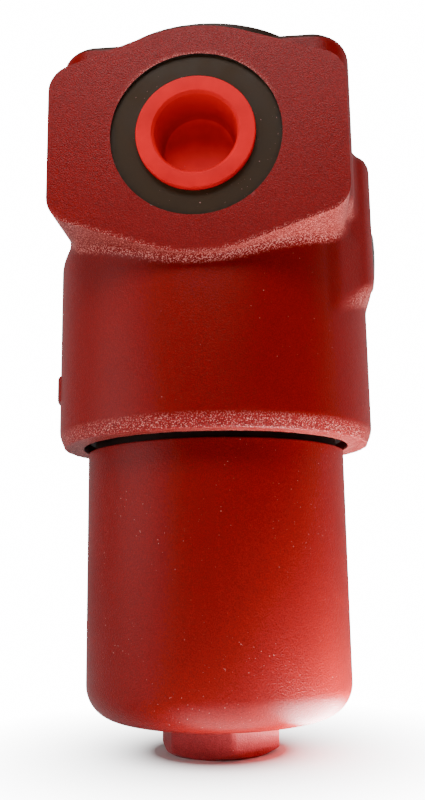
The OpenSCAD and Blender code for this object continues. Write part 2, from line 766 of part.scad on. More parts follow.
// The blanking plug is turned, with a hexagon socket in its flange
module blanking_plug() {
  face_x = boss_reach + blank_stand;
  flange_x = face_x - blank_flange_t;
  r = blank_flange_d / 2;
  color("silver") translate([0, 0, boss_z]) rotate([0, 90, 0]) difference() {
    rotate_extrude() polygon([
      [0, flange_x - blank_thread_len], [blank_thread_d / 2 - 1 - snug, flange_x - blank_thread_len],
      [blank_thread_d / 2 - snug, flange_x - blank_thread_len + 1], [blank_thread_d / 2 - snug, flange_x],
      [r, flange_x], [r, face_x - 0.8], [r - 0.8, face_x], [0, face_x]
    ]);
    translate([0, 0, face_x - blank_socket_depth])
      cylinder(d = blank_socket_af * 2 / sqrt(3), h = blank_socket_depth + 1, $fn = 6);
  }
}

module blanking_seal() {
  color("peru") translate([0, 0, boss_z]) rotate([0, 90, 0])
    ring(blank_flange_d / 2 - 0.6, blank_thread_d / 2 + 0.1, blank_seat_x, blank_seat_x + blank_seal_t);
}

// The plug is a thin moulded cup: flange, tapered recess and ribs that grip the thread
module inlet_plug() {
  depth_y = plug_face_y + plug_recess;
  rib_pitch = (plug_recess - plug_flange_t) / (plug_ribs + 1);
  color("orangered") translate([0, 0, port_z]) rotate([-90, 0, 0]) {
    rotate_extrude() difference() {
      union() {
        polygon([
          [0, plug_face_y], [plug_flange_d / 2 - 0.4, plug_face_y], [plug_flange_d / 2, plug_face_y + 0.4],
          [plug_flange_d / 2, -spot_y], [plug_body_r, -spot_y],
          [plug_body_r - plug_taper + 0.4, depth_y + plug_wall - 1],
          [plug_body_r - plug_taper - 0.8, depth_y + plug_wall], [0, depth_y + plug_wall]
        ]);
        for (i = [1 : plug_ribs]) translate([0, -spot_y + i * rib_pitch])
          polygon([[0, -0.8], [plug_body_r - 0.4, -0.8], [plug_body_r + 0.2, 0], [plug_body_r - 0.6, 0.8], [0, 0.8]]);
      }
      polygon([
        [0, plug_face_y - 1], [plug_mouth_r, plug_face_y - 1], [plug_mouth_r, plug_face_y],
        [plug_mouth_r - 0.7, plug_face_y + 0.9], [plug_floor_rad, depth_y - plug_floor_r],
        [plug_floor_rad - plug_floor_r, depth_y], [0, depth_y]
      ]);
    }
  }
}

head();
bowl();
bowl_oring();
bowl_backup_ring();
spigot();
spigot_oring();
element_top_cap();
element_bottom_cap();
element_medium();
element_core();
element_net();
bypass_seat();
bypass_cage();
bypass_poppet();
bypass_spring();
bypass_retainer();
bypass_circlip();
blanking_plug();
blanking_seal();
inlet_plug();
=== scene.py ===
"""Looks of an in-line high-pressure filter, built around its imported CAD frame.

The casting's skin is a signed distance field with cast fillets, meshed by dual contouring. The bowl, the
cup plug, the blanking plug and the thread liners are turned surfaces on a grid of profile by angle. What
stays from CAD gets a procedural finish. Lengths in the classes are millimetres, meshes are metres.
"""

import json
import logging
import math
from dataclasses import dataclass, field
from enum import Enum
from functools import cache
from typing import Callable, Optional, Sequence

import bpy
import numpy as np
from mathutils import Matrix, Vector

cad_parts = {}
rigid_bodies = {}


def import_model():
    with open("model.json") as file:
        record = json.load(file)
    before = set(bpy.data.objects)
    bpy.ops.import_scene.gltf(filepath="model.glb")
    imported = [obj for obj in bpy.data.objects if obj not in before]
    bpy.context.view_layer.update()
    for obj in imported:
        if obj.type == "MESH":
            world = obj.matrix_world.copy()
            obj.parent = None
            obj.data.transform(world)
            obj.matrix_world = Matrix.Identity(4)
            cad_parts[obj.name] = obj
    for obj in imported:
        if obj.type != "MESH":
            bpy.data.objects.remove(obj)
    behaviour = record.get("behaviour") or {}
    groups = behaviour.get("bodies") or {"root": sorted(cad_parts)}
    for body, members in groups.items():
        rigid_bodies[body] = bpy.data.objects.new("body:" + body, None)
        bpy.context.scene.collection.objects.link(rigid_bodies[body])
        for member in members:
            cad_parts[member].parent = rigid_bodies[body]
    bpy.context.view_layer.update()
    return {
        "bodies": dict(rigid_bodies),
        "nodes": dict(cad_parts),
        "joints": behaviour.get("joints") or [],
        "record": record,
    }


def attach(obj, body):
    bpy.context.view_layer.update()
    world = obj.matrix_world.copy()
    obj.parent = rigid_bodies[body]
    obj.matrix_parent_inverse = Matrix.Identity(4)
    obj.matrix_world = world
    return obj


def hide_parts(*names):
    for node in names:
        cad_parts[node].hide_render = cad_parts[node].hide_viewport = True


LOG = logging.getLogger("filter")
MM = 0.001
IMAGE_SIZE = (425, 800)
WHITE_GLOW = 16.0  # the emission that the view transform shows as plain white
NEARLY_ON = 0.12  # a face's middle this near to a tool's surface, in millimetres, was cut by it

Array = np.ndarray
Field = Callable[[Array, Array, Array], Array]
Socket = bpy.types.NodeSocket
Colour = tuple[float, float, float, float]

# dark bare metal, which above the flange also stands for painted shade on the block's top edges
BARE_METAL_AND_SHADE: Colour = (0.035, 0.018, 0.012, 1.0)
# painted highlight: pale grains for faces that look down, as if lit from below
PAINTED_HIGHLIGHT_GRAINS: Colour = (0.7, 0.2, 0.17, 1.0)
PAINT_DUST: Colour = (0.5, 0.22, 0.19, 1.0)
METAL_DUST: Colour = (0.45, 0.2, 0.19, 1.0)
PLASTIC_DUST: Colour = (0.5, 0.42, 0.4, 1.0)


class Axis(Enum):
    """Where the turning axis of a piece points."""

    UP = "up"
    INLET = "inlet"
    OUTLET = "outlet"
    RIGHT = "right"


class Region(Enum):
    """Which finish a face of the casting has. The values are the mesh's material indexes."""

    PAINT = 0
    MACHINED = 1
    BORE = 2
    LIGHTENED_CHAMFER = 3


class BowlRegion(Enum):
    """Which finish a face of the bowl has. The values are the mesh's material indexes."""

    PAINT = 0
    BARE = 1
    GROOVE = 2
    HEXAGON = 3


# ---- distance fields ----


def round_union(a: Array, b: Array, r: float) -> Array:
    """Union of two distance fields with a circular fillet of radius r in the inner corner.

    Within r of both surfaces the distance is r less the length of the vector (r - a, r - b).
    """
    u, v = np.maximum(r - a, 0.0), np.maximum(r - b, 0.0)
    return np.maximum(r, np.minimum(a, b)) - np.hypot(u, v)


def round_common(a: Array, b: Array, r: float) -> Array:
    """Intersection of two distance fields with a round edge of radius r."""
    u, v = np.maximum(r + a, 0.0), np.maximum(r + b, 0.0)
    return np.minimum(-r, np.maximum(a, b)) + np.hypot(u, v)


def rod(u: Array, v: Array, w: Array, r: float, low: float, high: float) -> Array:
    """Distance to a rod of radius r whose axis is w, from low to high: the larger of radial and end distance."""
    return np.maximum(np.hypot(u, v) - r, np.maximum(low - w, w - high))


# ---- meshes ----


@dataclass
class Shape:
    """Vertices in millimetres, faces as a list of equal-length index arrays, and what each face or vertex carries."""

    vertices: Array
    faces: list[Array]
    regions: Optional[Array] = None
    edge: Optional[Array] = None
    cavity: Optional[Array] = None
    recess: Optional[Array] = None
    under: Optional[Array] = None
    normals: Optional[Array] = None

    def build(self, name: str, sharp_angle: float = 38.0) -> bpy.types.Object:
        """Makes a smooth-shaded object at the origin with this shape.

        Args:
            name: the piece's name.
            sharp_angle: edges that turn more than this many degrees stay sharp.

        Returns:
            The linked object.
        """
        mesh = bpy.data.meshes.new(name)
        sizes = np.concatenate([np.full(len(f), f.shape[1]) for f in self.faces if len(f)])
        loops = np.concatenate([f.ravel() for f in self.faces if len(f)]).astype(np.int32)
        starts = np.concatenate([[0], np.cumsum(sizes)[:-1]]).astype(np.int32)
        mesh.vertices.add(len(self.vertices))
        mesh.vertices.foreach_set("co", (self.vertices * MM).astype(np.float32).ravel())
        mesh.loops.add(len(loops))
        mesh.loops.foreach_set("vertex_index", loops)
        mesh.polygons.add(len(sizes))
        mesh.polygons.foreach_set("loop_start", starts)
        if self.regions is not None:
            mesh.polygons.foreach_set("material_index", self.regions.astype(np.int32))
        mesh.polygons.foreach_set("use_smooth", np.ones(len(sizes), bool))
        mesh.update(calc_edges=True)
        mesh.validate()
        for key in ("edge", "cavity", "recess", "under"):
            values = getattr(self, key)
            if values is not None:
                mesh.attributes.new(key, "FLOAT", "POINT").data.foreach_set("value", values.astype(np.float32))
        if self.normals is not None:
            mesh.normals_split_custom_set(self.normals.tolist())
        else:
            mesh.set_sharp_from_angle(angle=math.radians(sharp_angle))
        piece = bpy.data.objects.new(name, mesh)
        bpy.context.scene.collection.objects.link(piece)
        return piece


def ring_faces(rows: int, columns: int, closed: bool) -> Array:
    """Quads of a grid of rows by columns whose columns close into a ring, and whose rows do if closed."""
    i = np.arange(rows if closed else rows - 1)[:, None]
    j = np.arange(columns)[None, :]
    here, there = i * columns, ((i + 1) % rows) * columns
    turn = (j + 1) % columns
    return np.stack([here + j, here + turn, there + turn, there + j], -1).reshape(-1, 4)


def eased(corners: Sequence[tuple[float, float, float]], closed: bool = False, steps: int = 5) -> Array:
    """A profile whose corners are arcs.

    Each corner is (radius, height, easing). The arc touches both sides at easing * tan(turn / 2) from the corner,
    and its points run along the circle about the centre on the bisector.

    Args:
        corners: the profile's corners in order.
        closed: whether the last corner joins the first.
        steps: points on an arc of a right angle.

    Returns:
        Points of radius, height and how keen an outer or inner edge each stands on, from -1 to 1.
    """
    points = []
    count = len(corners)
    for i, (x, y, ease) in enumerate(corners):
        here = np.array([x, y])
        if not closed and i in (0, count - 1) or ease <= 0:
            points.append((x, y, 0.0))
            continue
        before, after = np.array(corners[i - 1][:2]) - here, np.array(corners[(i + 1) % count][:2]) - here
        a, b = before / np.linalg.norm(before), after / np.linalg.norm(after)
        half = math.acos(float(np.clip(a @ b, -1, 1))) / 2
        reach = min(ease / math.tan(half), 0.49 * np.linalg.norm(before), 0.49 * np.linalg.norm(after))
        radius = reach * math.tan(half)
        middle = here + (a + b) / np.linalg.norm(a + b) * radius / math.sin(half)
        start, end = here + a * reach - middle, here + b * reach - middle
        sweep = math.pi - 2 * half
        side = math.copysign(1.0, start[0] * end[1] - start[1] * end[0])
        number = max(3, int(round(steps * sweep / (math.pi / 2))) + 1)
        keen = side * min(1.0, 1.2 / radius)
        for k, t in enumerate(np.linspace(0, sweep * side, number)):
            turn = np.array([[math.cos(t), -math.sin(t)], [math.sin(t), math.cos(t)]])
            points.append((*(middle + turn @ start), keen if 0 < k < number - 1 else 0.0))
    return np.array(points)


def turned(profile: Array, columns: int, axis: Axis = Axis.UP, centre: tuple[float, float] = (0.0, 0.0),
           closed: bool = False, radius_of: Optional[Callable[[Array, Array], Array]] = None) -> Shape:
    """A surface turned about an axis: x = r cos(angle), y = r sin(angle), z = height, then the axis is laid down.

    Args:
        profile: rows of radius, height and, in a third column, the edge mask. An end with a radius of 0 is a pole.
        columns: steps round the axis.
        axis: where height points.
        centre: where the axis passes, in the two directions across it.
        closed: whether the last row joins the first.
        radius_of: changes the grid of points (radius, height, angle) before they are placed.

    Returns:
        The shape, with its faces pointing out of the material when the profile runs up along the outside.
    """
    angle = 2 * np.pi * np.arange(columns) / columns
    radius = np.repeat(profile[:, 0:1], columns, 1)
    height = np.repeat(profile[:, 1:2], columns, 1)
    if radius_of is not None:
        radius, height = radius_of(radius, height, np.repeat(angle[None], len(profile), 0))
    grid = np.stack([radius * np.cos(angle), radius * np.sin(angle), height], -1)
    mask = profile[:, 2] if profile.shape[1] > 2 else np.zeros(len(profile))
    mask = np.repeat(mask[:, None], columns, 1)
    poles = [] if closed else [row for row in (0, len(profile) - 1) if profile[row, 0] < 1e-6]
    low = 1 if 0 in poles else 0
    high = len(profile) - (1 if len(profile) - 1 in poles else 0)
    points, mask = grid[low:high].reshape(-1, 3), mask[low:high].ravel()
    faces = [ring_faces(high - low, columns, closed)]
    for row in poles:
        rim = (0 if row == 0 else high - low - 1) * columns + np.arange(columns)
        tip = np.full(columns, len(points))
        nxt = np.roll(rim, -1)
        faces.append(np.stack([tip, nxt, rim] if row == 0 else [tip, rim, nxt], -1))
        points, mask = np.vstack([points, grid[row, :1]]), np.append(mask, 0.0)
    x, y, z = points.T
    a, b = centre
    placed = {
        Axis.UP: (x + a, y + b, z), Axis.INLET: (x + a, -z, y + b),
        Axis.OUTLET: (-x + a, z, y + b), Axis.RIGHT: (z, x + a, y + b),
    }[axis]
    return Shape(np.stack(placed, -1), faces, edge=np.maximum(mask, 0), cavity=np.maximum(-mask, 0))


def thread_wave(t: Array) -> Array:
    """Depth of a thread over one pitch, from 0 at the crest to 1 at the root: a trapezium with short flats."""
    return np.clip((np.abs(((t % 1.0) - 0.5) * 2.0) - 0.14) / 0.72, 0.0, 1.0)


# ---- dual contouring ----


@dataclass
class Contour:
    """Meshes the zero surface of a distance field: one vertex per cell, where the planes that cross its edges meet.

    The pull is the weight that draws a vertex towards the mean of its crossings. The two curvatures are those at
    which the edge and cavity masks are full.
    """

    field: Field
    low: Sequence[float]
    high: Sequence[float]
    cell: float
    pull: float = 0.03
    edge_curvature: float = 1.1
    cavity_curvature: float = 0.8

    def gradient(self, p: Array, step: float = 0.02) -> Array:
        """Unit gradient by central differences: (f(p + h) - f(p - h)) along each axis, divided by its length."""
        parts = []
        for k in range(3):
            shift = np.zeros(3)
            shift[k] = step
            parts.append(self.field(*(p + shift).T) - self.field(*(p - shift).T))
        g = np.stack(parts, -1)
        return g / np.maximum(np.linalg.norm(g, axis=1, keepdims=True), 1e-12)

    def bend(self, p: Array, step: float = 1.3) -> Array:
        """Curvature: the sum of the field a step away along the six axes, less six times the field, over the step
        squared."""
        total = -6.0 * self.field(*p.T)
        for k in range(3):
            for sign in (-1, 1):
                shift = np.zeros(3)
                shift[k] = sign * step
                total += self.field(*(p + shift).T)
        return total / step**2

    def crossings(self, value: Array, origin: Array, k: int) -> tuple[Array, Array]:
        """Where the surface crosses the grid's edges along axis k.

        The place on an edge starts at a / (a - b) between its two values. Then the part of the edge that holds the
        change of sign is halved five times.

        Args:
            value: the field on the grid.
            origin: the grid's first point.
            k: the axis of the edges.

        Returns:
            The crossing points, and the four cells round each crossed edge in the order of an outward quad.
        """
        inside = value < 0
        here, ahead = [slice(1, -1)] * 3, [slice(1, -1)] * 3
        here[k], ahead[k] = slice(0, -1), slice(1, None)
        index = np.argwhere(inside[tuple(here)] != inside[tuple(ahead)])
        index += np.array([0 if axis == k else 1 for axis in range(3)])
        nxt = index.copy()
        nxt[:, k] += 1
        a, b = value[tuple(index.T)], value[tuple(nxt.T)]
        start, end = origin + index * self.cell, origin + nxt * self.cell
        low, high = np.zeros(len(a)), np.ones(len(a))
        t = a / (a - b)
        for _ in range(5):
            middle = self.field(*(start + (end - start) * t[:, None]).T)
            same = (middle < 0) == (a < 0)
            low, high = np.where(same, t, low), np.where(same, high, t)
            t = (low + high) / 2
        u, v = [axis for axis in range(3) if axis != k]
        around = []
        for du, dv in ((1, 1), (0, 1), (0, 0), (1, 0)):
            beside = index.copy()
            beside[:, u] -= du
            beside[:, v] -= dv
            around.append(np.ravel_multi_index(beside.T, value.shape))
        around = np.stack(around, -1)
        flip = (a < 0) == (k == 1)
        around[flip] = around[flip][:, ::-1]
        return start + (end - start) * t[:, None], around

    def mesh(self) -> Shape:
        """Finds the edges of the grid that the surface crosses, solves one vertex per cell and joins them by quads.

        The vertex is the least-squares meeting point of the tangent planes, x = (A'A + k I)^-1 (A'b + k m), with m
        the mean crossing, and it is kept inside its cell.

        Returns:
            The closed surface with its normals and curvature masks.
        """
        axes = [np.arange(lo, hi + self.cell, self.cell) for lo, hi in zip(self.low, self.high)]
        origin = np.array([axis[0] for axis in axes])
        value = self.field(axes[0][:, None, None], axes[1][None, :, None], axes[2][None, None, :])
        value = np.where(np.abs(value) < 1e-7, 1e-7, value)
        found = [self.crossings(value, origin, k) for k in range(3)]
        point, cells = (np.concatenate(part) for part in zip(*found))
        normal = self.gradient(point)
        used, slot = np.unique(cells, return_inverse=True)
        slot = slot.reshape(cells.shape)
        flat, total = slot.ravel(), len(used)

        def gather(values: Array) -> Array:
            """Sum over the crossings of each cell."""
            return np.bincount(flat, np.repeat(values, cells.shape[1]), total)

        count = gather(np.ones(len(point)))
        mean = np.stack([gather(point[:, i]) for i in range(3)], -1) / count[:, None]
        ata = [gather(normal[:, i] * normal[:, j]) for i in range(3) for j in range(3)]
        ata = np.stack(ata, -1).reshape(-1, 3, 3)
        offset = np.einsum("ij,ij->i", normal, point)
        atb = np.stack([gather(normal[:, i] * offset) for i in range(3)], -1)
        left = ata + self.pull * np.eye(3)
        vertex = np.linalg.solve(left, (atb + self.pull * mean)[..., None])[..., 0]
        corner = origin + np.stack(np.unravel_index(used, value.shape), -1) * self.cell
        vertex = np.clip(vertex, corner, corner + self.cell)
        for _ in range(2):
            along = self.gradient(vertex)
            off = self.field(*vertex.T)
            step = np.clip(off, -0.25 * self.cell, 0.25 * self.cell)
            smooth = np.abs(off) < 0.08 * self.cell
            vertex -= np.where(smooth, step, 0.0)[:, None] * along
        curve = self.bend(vertex)
        return Shape(vertex, [slot], normals=self.corner_normals(vertex, slot),
                     edge=np.clip(curve / self.edge_curvature, 0, 1),
                     cavity=np.clip(-curve / self.cavity_curvature, 0, 1))

    def corner_normals(self, vertex: Array, quads: Array, inset: float = 0.3, crisp: float = 0.988) -> Array:
        """The normal at each corner of each quad.

        It is the field's gradient at the vertex. Where the gradient a little way into the quad turns from it by more
        than the crisp cosine, the vertex stands on an edge, and the quad keeps its own.

        Args:
            vertex: the vertices.
            quads: four vertex indexes a row.
            inset: how far towards the quad's centre its own gradient is taken.
            crisp: the cosine between the two below which the edge stays crisp.

        Returns:
            Four rows for each quad.
        """
        corner = vertex[quads]
        own = self.gradient((corner + inset * (corner.mean(1, keepdims=True) - corner)).reshape(-1, 3))
        shared = self.gradient(vertex, 0.05)[quads].reshape(-1, 3)
        along = np.einsum("ij,ij->i", own, shared)
        return np.where(along[:, None] > crisp, shared, own)


# ---- the casting ----


@dataclass
class Casting:
    """The head: two port flanges carried along one barrel, the block, the turned skirt, the boss and the bores."""

    port_z: float = -41.0
    face_y: float = 49.0
    half_width: float = 39.0
    reach_up: float = 30.4
    reach_down: float = 32.2
    crown_r: float = 40.0
    corner_r: float = 7.5
    slope: float = 19.0
    fillet_r: float = 2.2
    skirt_r: float = 45.65
    skirt_z: float = -117.1
    chamfer_w: float = 1.5
    chamfer_h: float = 3.6
    shoulder_z: float = -53.0
    roof_z: float = -72.0
    seat_z: float = -108.0
    land_z: float = -89.0
    spot_r: float = 22.35
    spot_y: float = 48.2
    block_x: float = 0.7
    block_half_x: float = 30.8
    block_half_y: float = 28.0
    block_corner: float = 10.0
    top_r: float = 35.3
    mouth_r: float = 38.6
    boss_x: float = 33.5
    boss_face: float = 47.6
    boss_depth: float = 14.1
    boss_half: float = 31.0
    boss_top: float = -34.2
    boss_foot: float = -86.0
    plug_z: float = -61.0
    cell: float = 0.95

    def outline(self, x: Array, z: Array, reach: float) -> Array:
        """Distance to half of the flange outline, for the crown on the side where z grows.

        The crown is a circle within the slope's angle of the upright, the shoulder a plane, the corner a circle,
        and the side an upright plane.
        """
        sin, cos = math.sin(math.radians(self.slope)), math.cos(math.radians(self.slope))
        side = np.abs(x)
        crown_z = reach - self.crown_r
        corner_x = self.half_width - self.corner_r
        corner_z = (crown_z * cos + self.crown_r - self.corner_r - corner_x * sin) / cos
        shoulder = side * sin + (z - crown_z) * cos - self.crown_r
        crown = np.where(side * cos - (z - crown_z) * sin < 0, np.hypot(side, z - crown_z) - self.crown_r, shoulder)
        qx, qz = side - corner_x, z - corner_z
        straight = np.maximum(crown, side - self.half_width)
        return np.where((qx * cos - qz * sin > 0) & (qz > 0), np.hypot(qx, qz) - self.corner_r, straight)

    def barrel(self, x: Array, y: Array, z: Array) -> Array:
        """The flange outline carried along the port axis, with crisp front and back edges."""
        up = self.outline(x, z - self.port_z, self.reach_up)
        down = self.outline(x, self.port_z - z, self.reach_down)
        return np.maximum(np.maximum(up, down), np.abs(y) - self.face_y)

    def block(self, x: Array, y: Array, z: Array) -> Array:
        """The block between the flanges: round plan corners, soft upper edges at the sides, tight ones at the ends."""
        qx, qy = np.abs(x - self.block_x) - self.block_half_x, np.abs(y) - self.block_half_y
        out_x, out_y = np.maximum(qx, 0), np.maximum(qy, 0)
        plan = np.hypot(out_x, out_y) + np.minimum(np.maximum(qx, qy), 0) - self.block_corner
        ease = 2.0 + 3.5 * out_x / np.maximum(out_x + out_y, 1e-6)
        return round_common(plan, np.abs(z + 32.0) - 25.0, ease)

    def skirt(self, x: Array, y: Array, z: Array) -> Array:
        """The skirt: a round shoulder, a plain wall and a chamfer above its lower face."""
        r = np.hypot(x, y)
        wall = round_common(r - self.skirt_r, z - self.shoulder_z, 12.0)
        wide, high = self.chamfer_w, self.chamfer_h
        chamfer = ((r - self.skirt_r) * high + (self.skirt_z + high - z) * wide) / math.hypot(high, wide)
        return round_common(round_common(wall, chamfer, 0.5), self.skirt_z - z, 0.5)

    def boss(self, x: Array, y: Array, z: Array) -> Array:
        """The indicator boss: its plan tapers to a flat face, and its side view slopes back at the foot."""
        out, across = x - self.boss_x, np.abs(y) - self.boss_half
        taper, rise, depth = 16.0, 12.0, self.boss_depth
        flank = (out * taper + across * depth) / math.hypot(taper, depth)
        plan = round_common(round_common(flank, across, 4.0), x - self.boss_face, 3.0)
        foot = (out * rise - (z - self.boss_foot) * depth) / math.hypot(rise, depth)
        plan = np.maximum(plan, -x)
        return round_common(round_common(plan, np.maximum(foot, self.boss_foot - z), 3.0), z - self.boss_top, 3.0)

    def cast(self, x: Array, y: Array, z: Array) -> Array:
        """The casting before it is machined: all its forms, with cast fillets where they meet."""
        r = np.hypot(x, y)
        body = round_union(self.barrel(x, y, z), self.block(x, y, z), self.fillet_r)
        body = round_union(body, self.skirt(x, y, z), self.fillet_r)
        body = round_union(body, self.boss(x, y, z), self.fillet_r)
        top = np.maximum(np.maximum(r - self.top_r, z), -8.0 - z)
        top = np.maximum(top, (r - (self.top_r - 1.0) + z) / math.sqrt(2.0))
        return round_union(body, top, self.fillet_r)

    def bores(self, x: Array, y: Array, z: Array) -> Array:
        """Everything that a tool cuts and leaves bare, as one field."""
        up, plug_up = z - self.port_z, z - self.plug_z
        ends = np.abs(y)
        cuts = [
            # the ports: spotface, thread, and the gallery behind each
            rod(x, up, ends, self.spot_r, self.spot_y, 60.0), rod(x, up, ends, 13.7, 28.0, 60.0),
            rod(x, up, y, 10.5, 0.0, 30.0), rod(x, up, -y, 10.5, 15.0, 30.0),
            # the galleries down to the bowl chamber, with the spigot's and the bypass valve's seats
            rod(x, y + 22.0, z, 7.5, -73.0, -41.0), rod(x, y, z, 9.0, -73.0, -41.0),
            rod(x, y, z, 11.02, -73.0, -60.5), rod(x, y - 21.0, z, 7.02, -73.0, -44.75),
            # the bowl's thread and its sealing land
            rod(x, y, z, 36.9, self.seat_z + 0.4, self.land_z - 1.4), rod(x, y, z, 34.3, -95.0, self.roof_z),
            # the indicator port: spotface, thread, and its two small galleries
            rod(y, plug_up, x, 11.0, 44.2, 60.0), rod(y, plug_up, x, 6.65, 25.2, 50.0),
            rod(y, plug_up, x, 2.0, 0.0, 30.0), rod(x - 28.2, y, z, 2.0, -73.0, self.plug_z),
            # the four holes in the top
            rod(np.abs(x) - 18.0, np.abs(y) - 18.0, z, 4.2, -13.0, 10.0),
        ]
        return np.minimum.reduce(np.broadcast_arrays(*cuts))

    def mouth(self, x: Array, y: Array, z: Array) -> Array:
        """The mouth above which the bowl seats, painted with the rest."""
        return rod(x, y, z, self.mouth_r, self.skirt_z - 5.0, self.seat_z)

    def field(self, x: Array, y: Array, z: Array) -> Array:
        """The machined casting."""
        solid = round_common(self.cast(x, y, z), -self.mouth(x, y, z), 0.3)
        return np.maximum(solid, -self.bores(x, y, z))

    @staticmethod
    def downward(corners: Array) -> Array:
        """How much each quad faces down: less the height of its unit normal, the cross product of its diagonals."""
        normal = np.cross(corners[:, 2] - corners[:, 0], corners[:, 3] - corners[:, 1])
        return -normal[:, 2] / np.maximum(np.linalg.norm(normal, axis=1), 1e-9)

    def build(self) -> bpy.types.Object:
        """Meshes the casting, marks each face as painted, machined, bored or the downward chamfer, which gets a
        lighter copy of the paint as painted light, and finds what faces down for the painted highlight grains.
        """
        contour = Contour(self.field, (-47.6, -51.35, -119.1), (50.2, 51.35, 2.0), self.cell)
        shape = contour.mesh()
        quads = shape.faces[0]
        x, y, z = shape.vertices[quads].mean(1).T
        r = np.hypot(x, y)
        cut = np.abs(self.bores(x, y, z)) < NEARLY_ON
        spot = cut & (np.abs(y) > self.spot_y - 0.1) & (np.abs(y) < self.spot_y + 0.3)
        top = (z > -NEARLY_ON) & (r < self.top_r)
        region = np.where(cut, Region.BORE.value, Region.PAINT.value)
        region = np.where(spot | top, Region.MACHINED.value, region)
        slope = self.downward(shape.vertices[quads])
        # painted light: the skirt's downward chamfer gets a lighter copy of the paint, as if lit from below, with a
        # coarser grain
        chamfer = (region == Region.PAINT.value) & (slope > 0.3) & (z < self.seat_z) & (r > 40.0)
        shape.regions = np.where(chamfer, Region.LIGHTENED_CHAMFER.value, region)
        total, count = np.zeros(len(shape.vertices)), np.zeros(len(shape.vertices))
        np.add.at(total, quads, slope[:, None])
        np.add.at(count, quads, 1.0)
        # how far each vertex faces down; the paint puts its painted highlight grains there
        shape.under = np.clip((total / np.maximum(count, 1.0) - 0.15) / 0.2, 0.0, 1.0)
        return shape.build("cast_head")


@dataclass
class ThreadLiner:
    """A ring with a helical thread on its inside: r = crest + depth * wave((height - pitch * angle / 2 pi) / pitch).
    """

    name: str
    crest_r: float
    depth: float
    pitch: float
    low: float
    high: float
    outer_r: float
    axis: Axis
    centre: tuple[float, float] = (0.0, 0.0)
    columns: int = 72

    def shape(self) -> Shape:
        """The liner as a closed ring: outer wall down, threaded wall up."""
        rows = max(8, int((self.high - self.low) / self.pitch * 8))
        height = np.linspace(self.low, self.high, rows)
        inner = np.stack([np.full(rows, self.crest_r), height, np.full(rows, 1.0)], -1)
        outer = np.array([[self.outer_r, self.high, 0.0], [self.outer_r, self.low, 0.0]])
        profile = np.vstack([inner[::-1], outer[::-1]])
        low, high, pitch, depth = self.low, self.high, self.pitch, self.depth
        threaded = np.arange(len(profile)) < rows

        def carve(radius: Array, z: Array, angle: Array) -> tuple[Array, Array]:
            """Cuts the groove outwards, and lets it run out over the first half pitch at each end."""
            fade = np.clip(np.minimum(z - low, high - z) / (0.5 * pitch), 0.0, 1.0)
            groove = depth * thread_wave((z - pitch * angle / (2 * np.pi)) / pitch)
            ends = depth * 0.9 * (1.0 - fade)
            return radius + np.where(threaded[:, None], np.maximum(groove * fade, ends), 0.0), z

        return turned(profile, self.columns, self.axis, self.centre, closed=True, radius_of=carve)

    def build(self) -> bpy.types.Object:
        """Makes the liner's object."""
        return self.shape().build(self.name, 60.0)


@dataclass
class Arrow:
    """A raised flow arrow: a plain arrow outline whose height rises from its edge as a cast relief."""

    name: str
    centre_z: float
    length: float
    height: float
    relief: float
    step: float = 0.35

    def outline_distance(self, u: Array, v: Array) -> Array:
        """Distance inside a plain arrow that points along +u: the deeper of its triangle and its shaft."""
        head = self.height * 0.9
        half = self.height / 2
        tip = self.length / 2
        slope = math.hypot(head, half)
        triangle = np.minimum(((tip - u) * half - np.abs(v) * head) / slope, u - (tip - head))
        shaft = np.minimum(np.minimum(self.height * 0.3 - np.abs(v), u + tip), tip - head * 0.5 - u)
        return np.maximum(triangle, shaft)

    def relief_height(self, u: Array, v: Array) -> Array:
        """Height over the wall: a quarter-round rise over 0.8 mm from the outline, then flat; below it sinks in."""
        inside = self.outline_distance(u, v)
        rise = np.clip(inside / 0.8, 0.0, 1.0)
        return np.where(inside > 0, self.relief * np.sqrt(1.0 - (1.0 - rise) ** 2), np.maximum(inside, -0.5) * 0.8)

    def build(self, place: Callable[[Array, Array, Array], tuple[Array, Array, Array]]) -> bpy.types.Object:
        """Makes the arrow as a closed plate: a relief sheet on top, a plain sheet below, and a wall round both.

        Args:
            place: takes along, up and out of the wall in millimetres, and gives x, y, z.

        Returns:
            The arrow's object.
        """
        u = np.arange(-self.length / 2 - 1, self.length / 2 + 1 + self.step, self.step)
        v = np.arange(-self.height / 2 - 1, self.height / 2 + 1 + self.step, self.step)
        uu, vv = np.meshgrid(u, v, indexing="ij")
        top = np.stack(place(uu, vv, self.relief_height(uu, vv)), -1).reshape(-1, 3)
        under = np.stack(place(uu, vv, np.full(uu.shape, -1.0)), -1).reshape(-1, 3)
        rows, cols = uu.shape
        i, j = np.meshgrid(np.arange(rows - 1), np.arange(cols - 1), indexing="ij")
        a = (i * cols + j).ravel()
        sheet = np.stack([a, a + cols, a + cols + 1, a + 1], -1)
        n = rows * cols
        rim = np.concatenate([
            np.arange(cols), np.arange(1, rows) * cols + cols - 1, (rows - 1) * cols + np.arange(cols - 2, -1, -1),
            np.arange(rows - 2, 0, -1) * cols,
        ])
        nxt = np.roll(rim, -1)
        wall = np.stack([rim, nxt, nxt + n, rim + n], -1)
        points = np.vstack([top, under])
        faces = np.vstack([sheet, sheet[:, ::-1] + n, wall])
        outward = np.cross(top[cols] - top[0], top[1] - top[0]) @ (top[0] - under[0])
        if outward < 0:
            faces = faces[:, ::-1]
        return Shape(points, [faces]).build(self.name, 50.0)


# ---- turned pieces ----


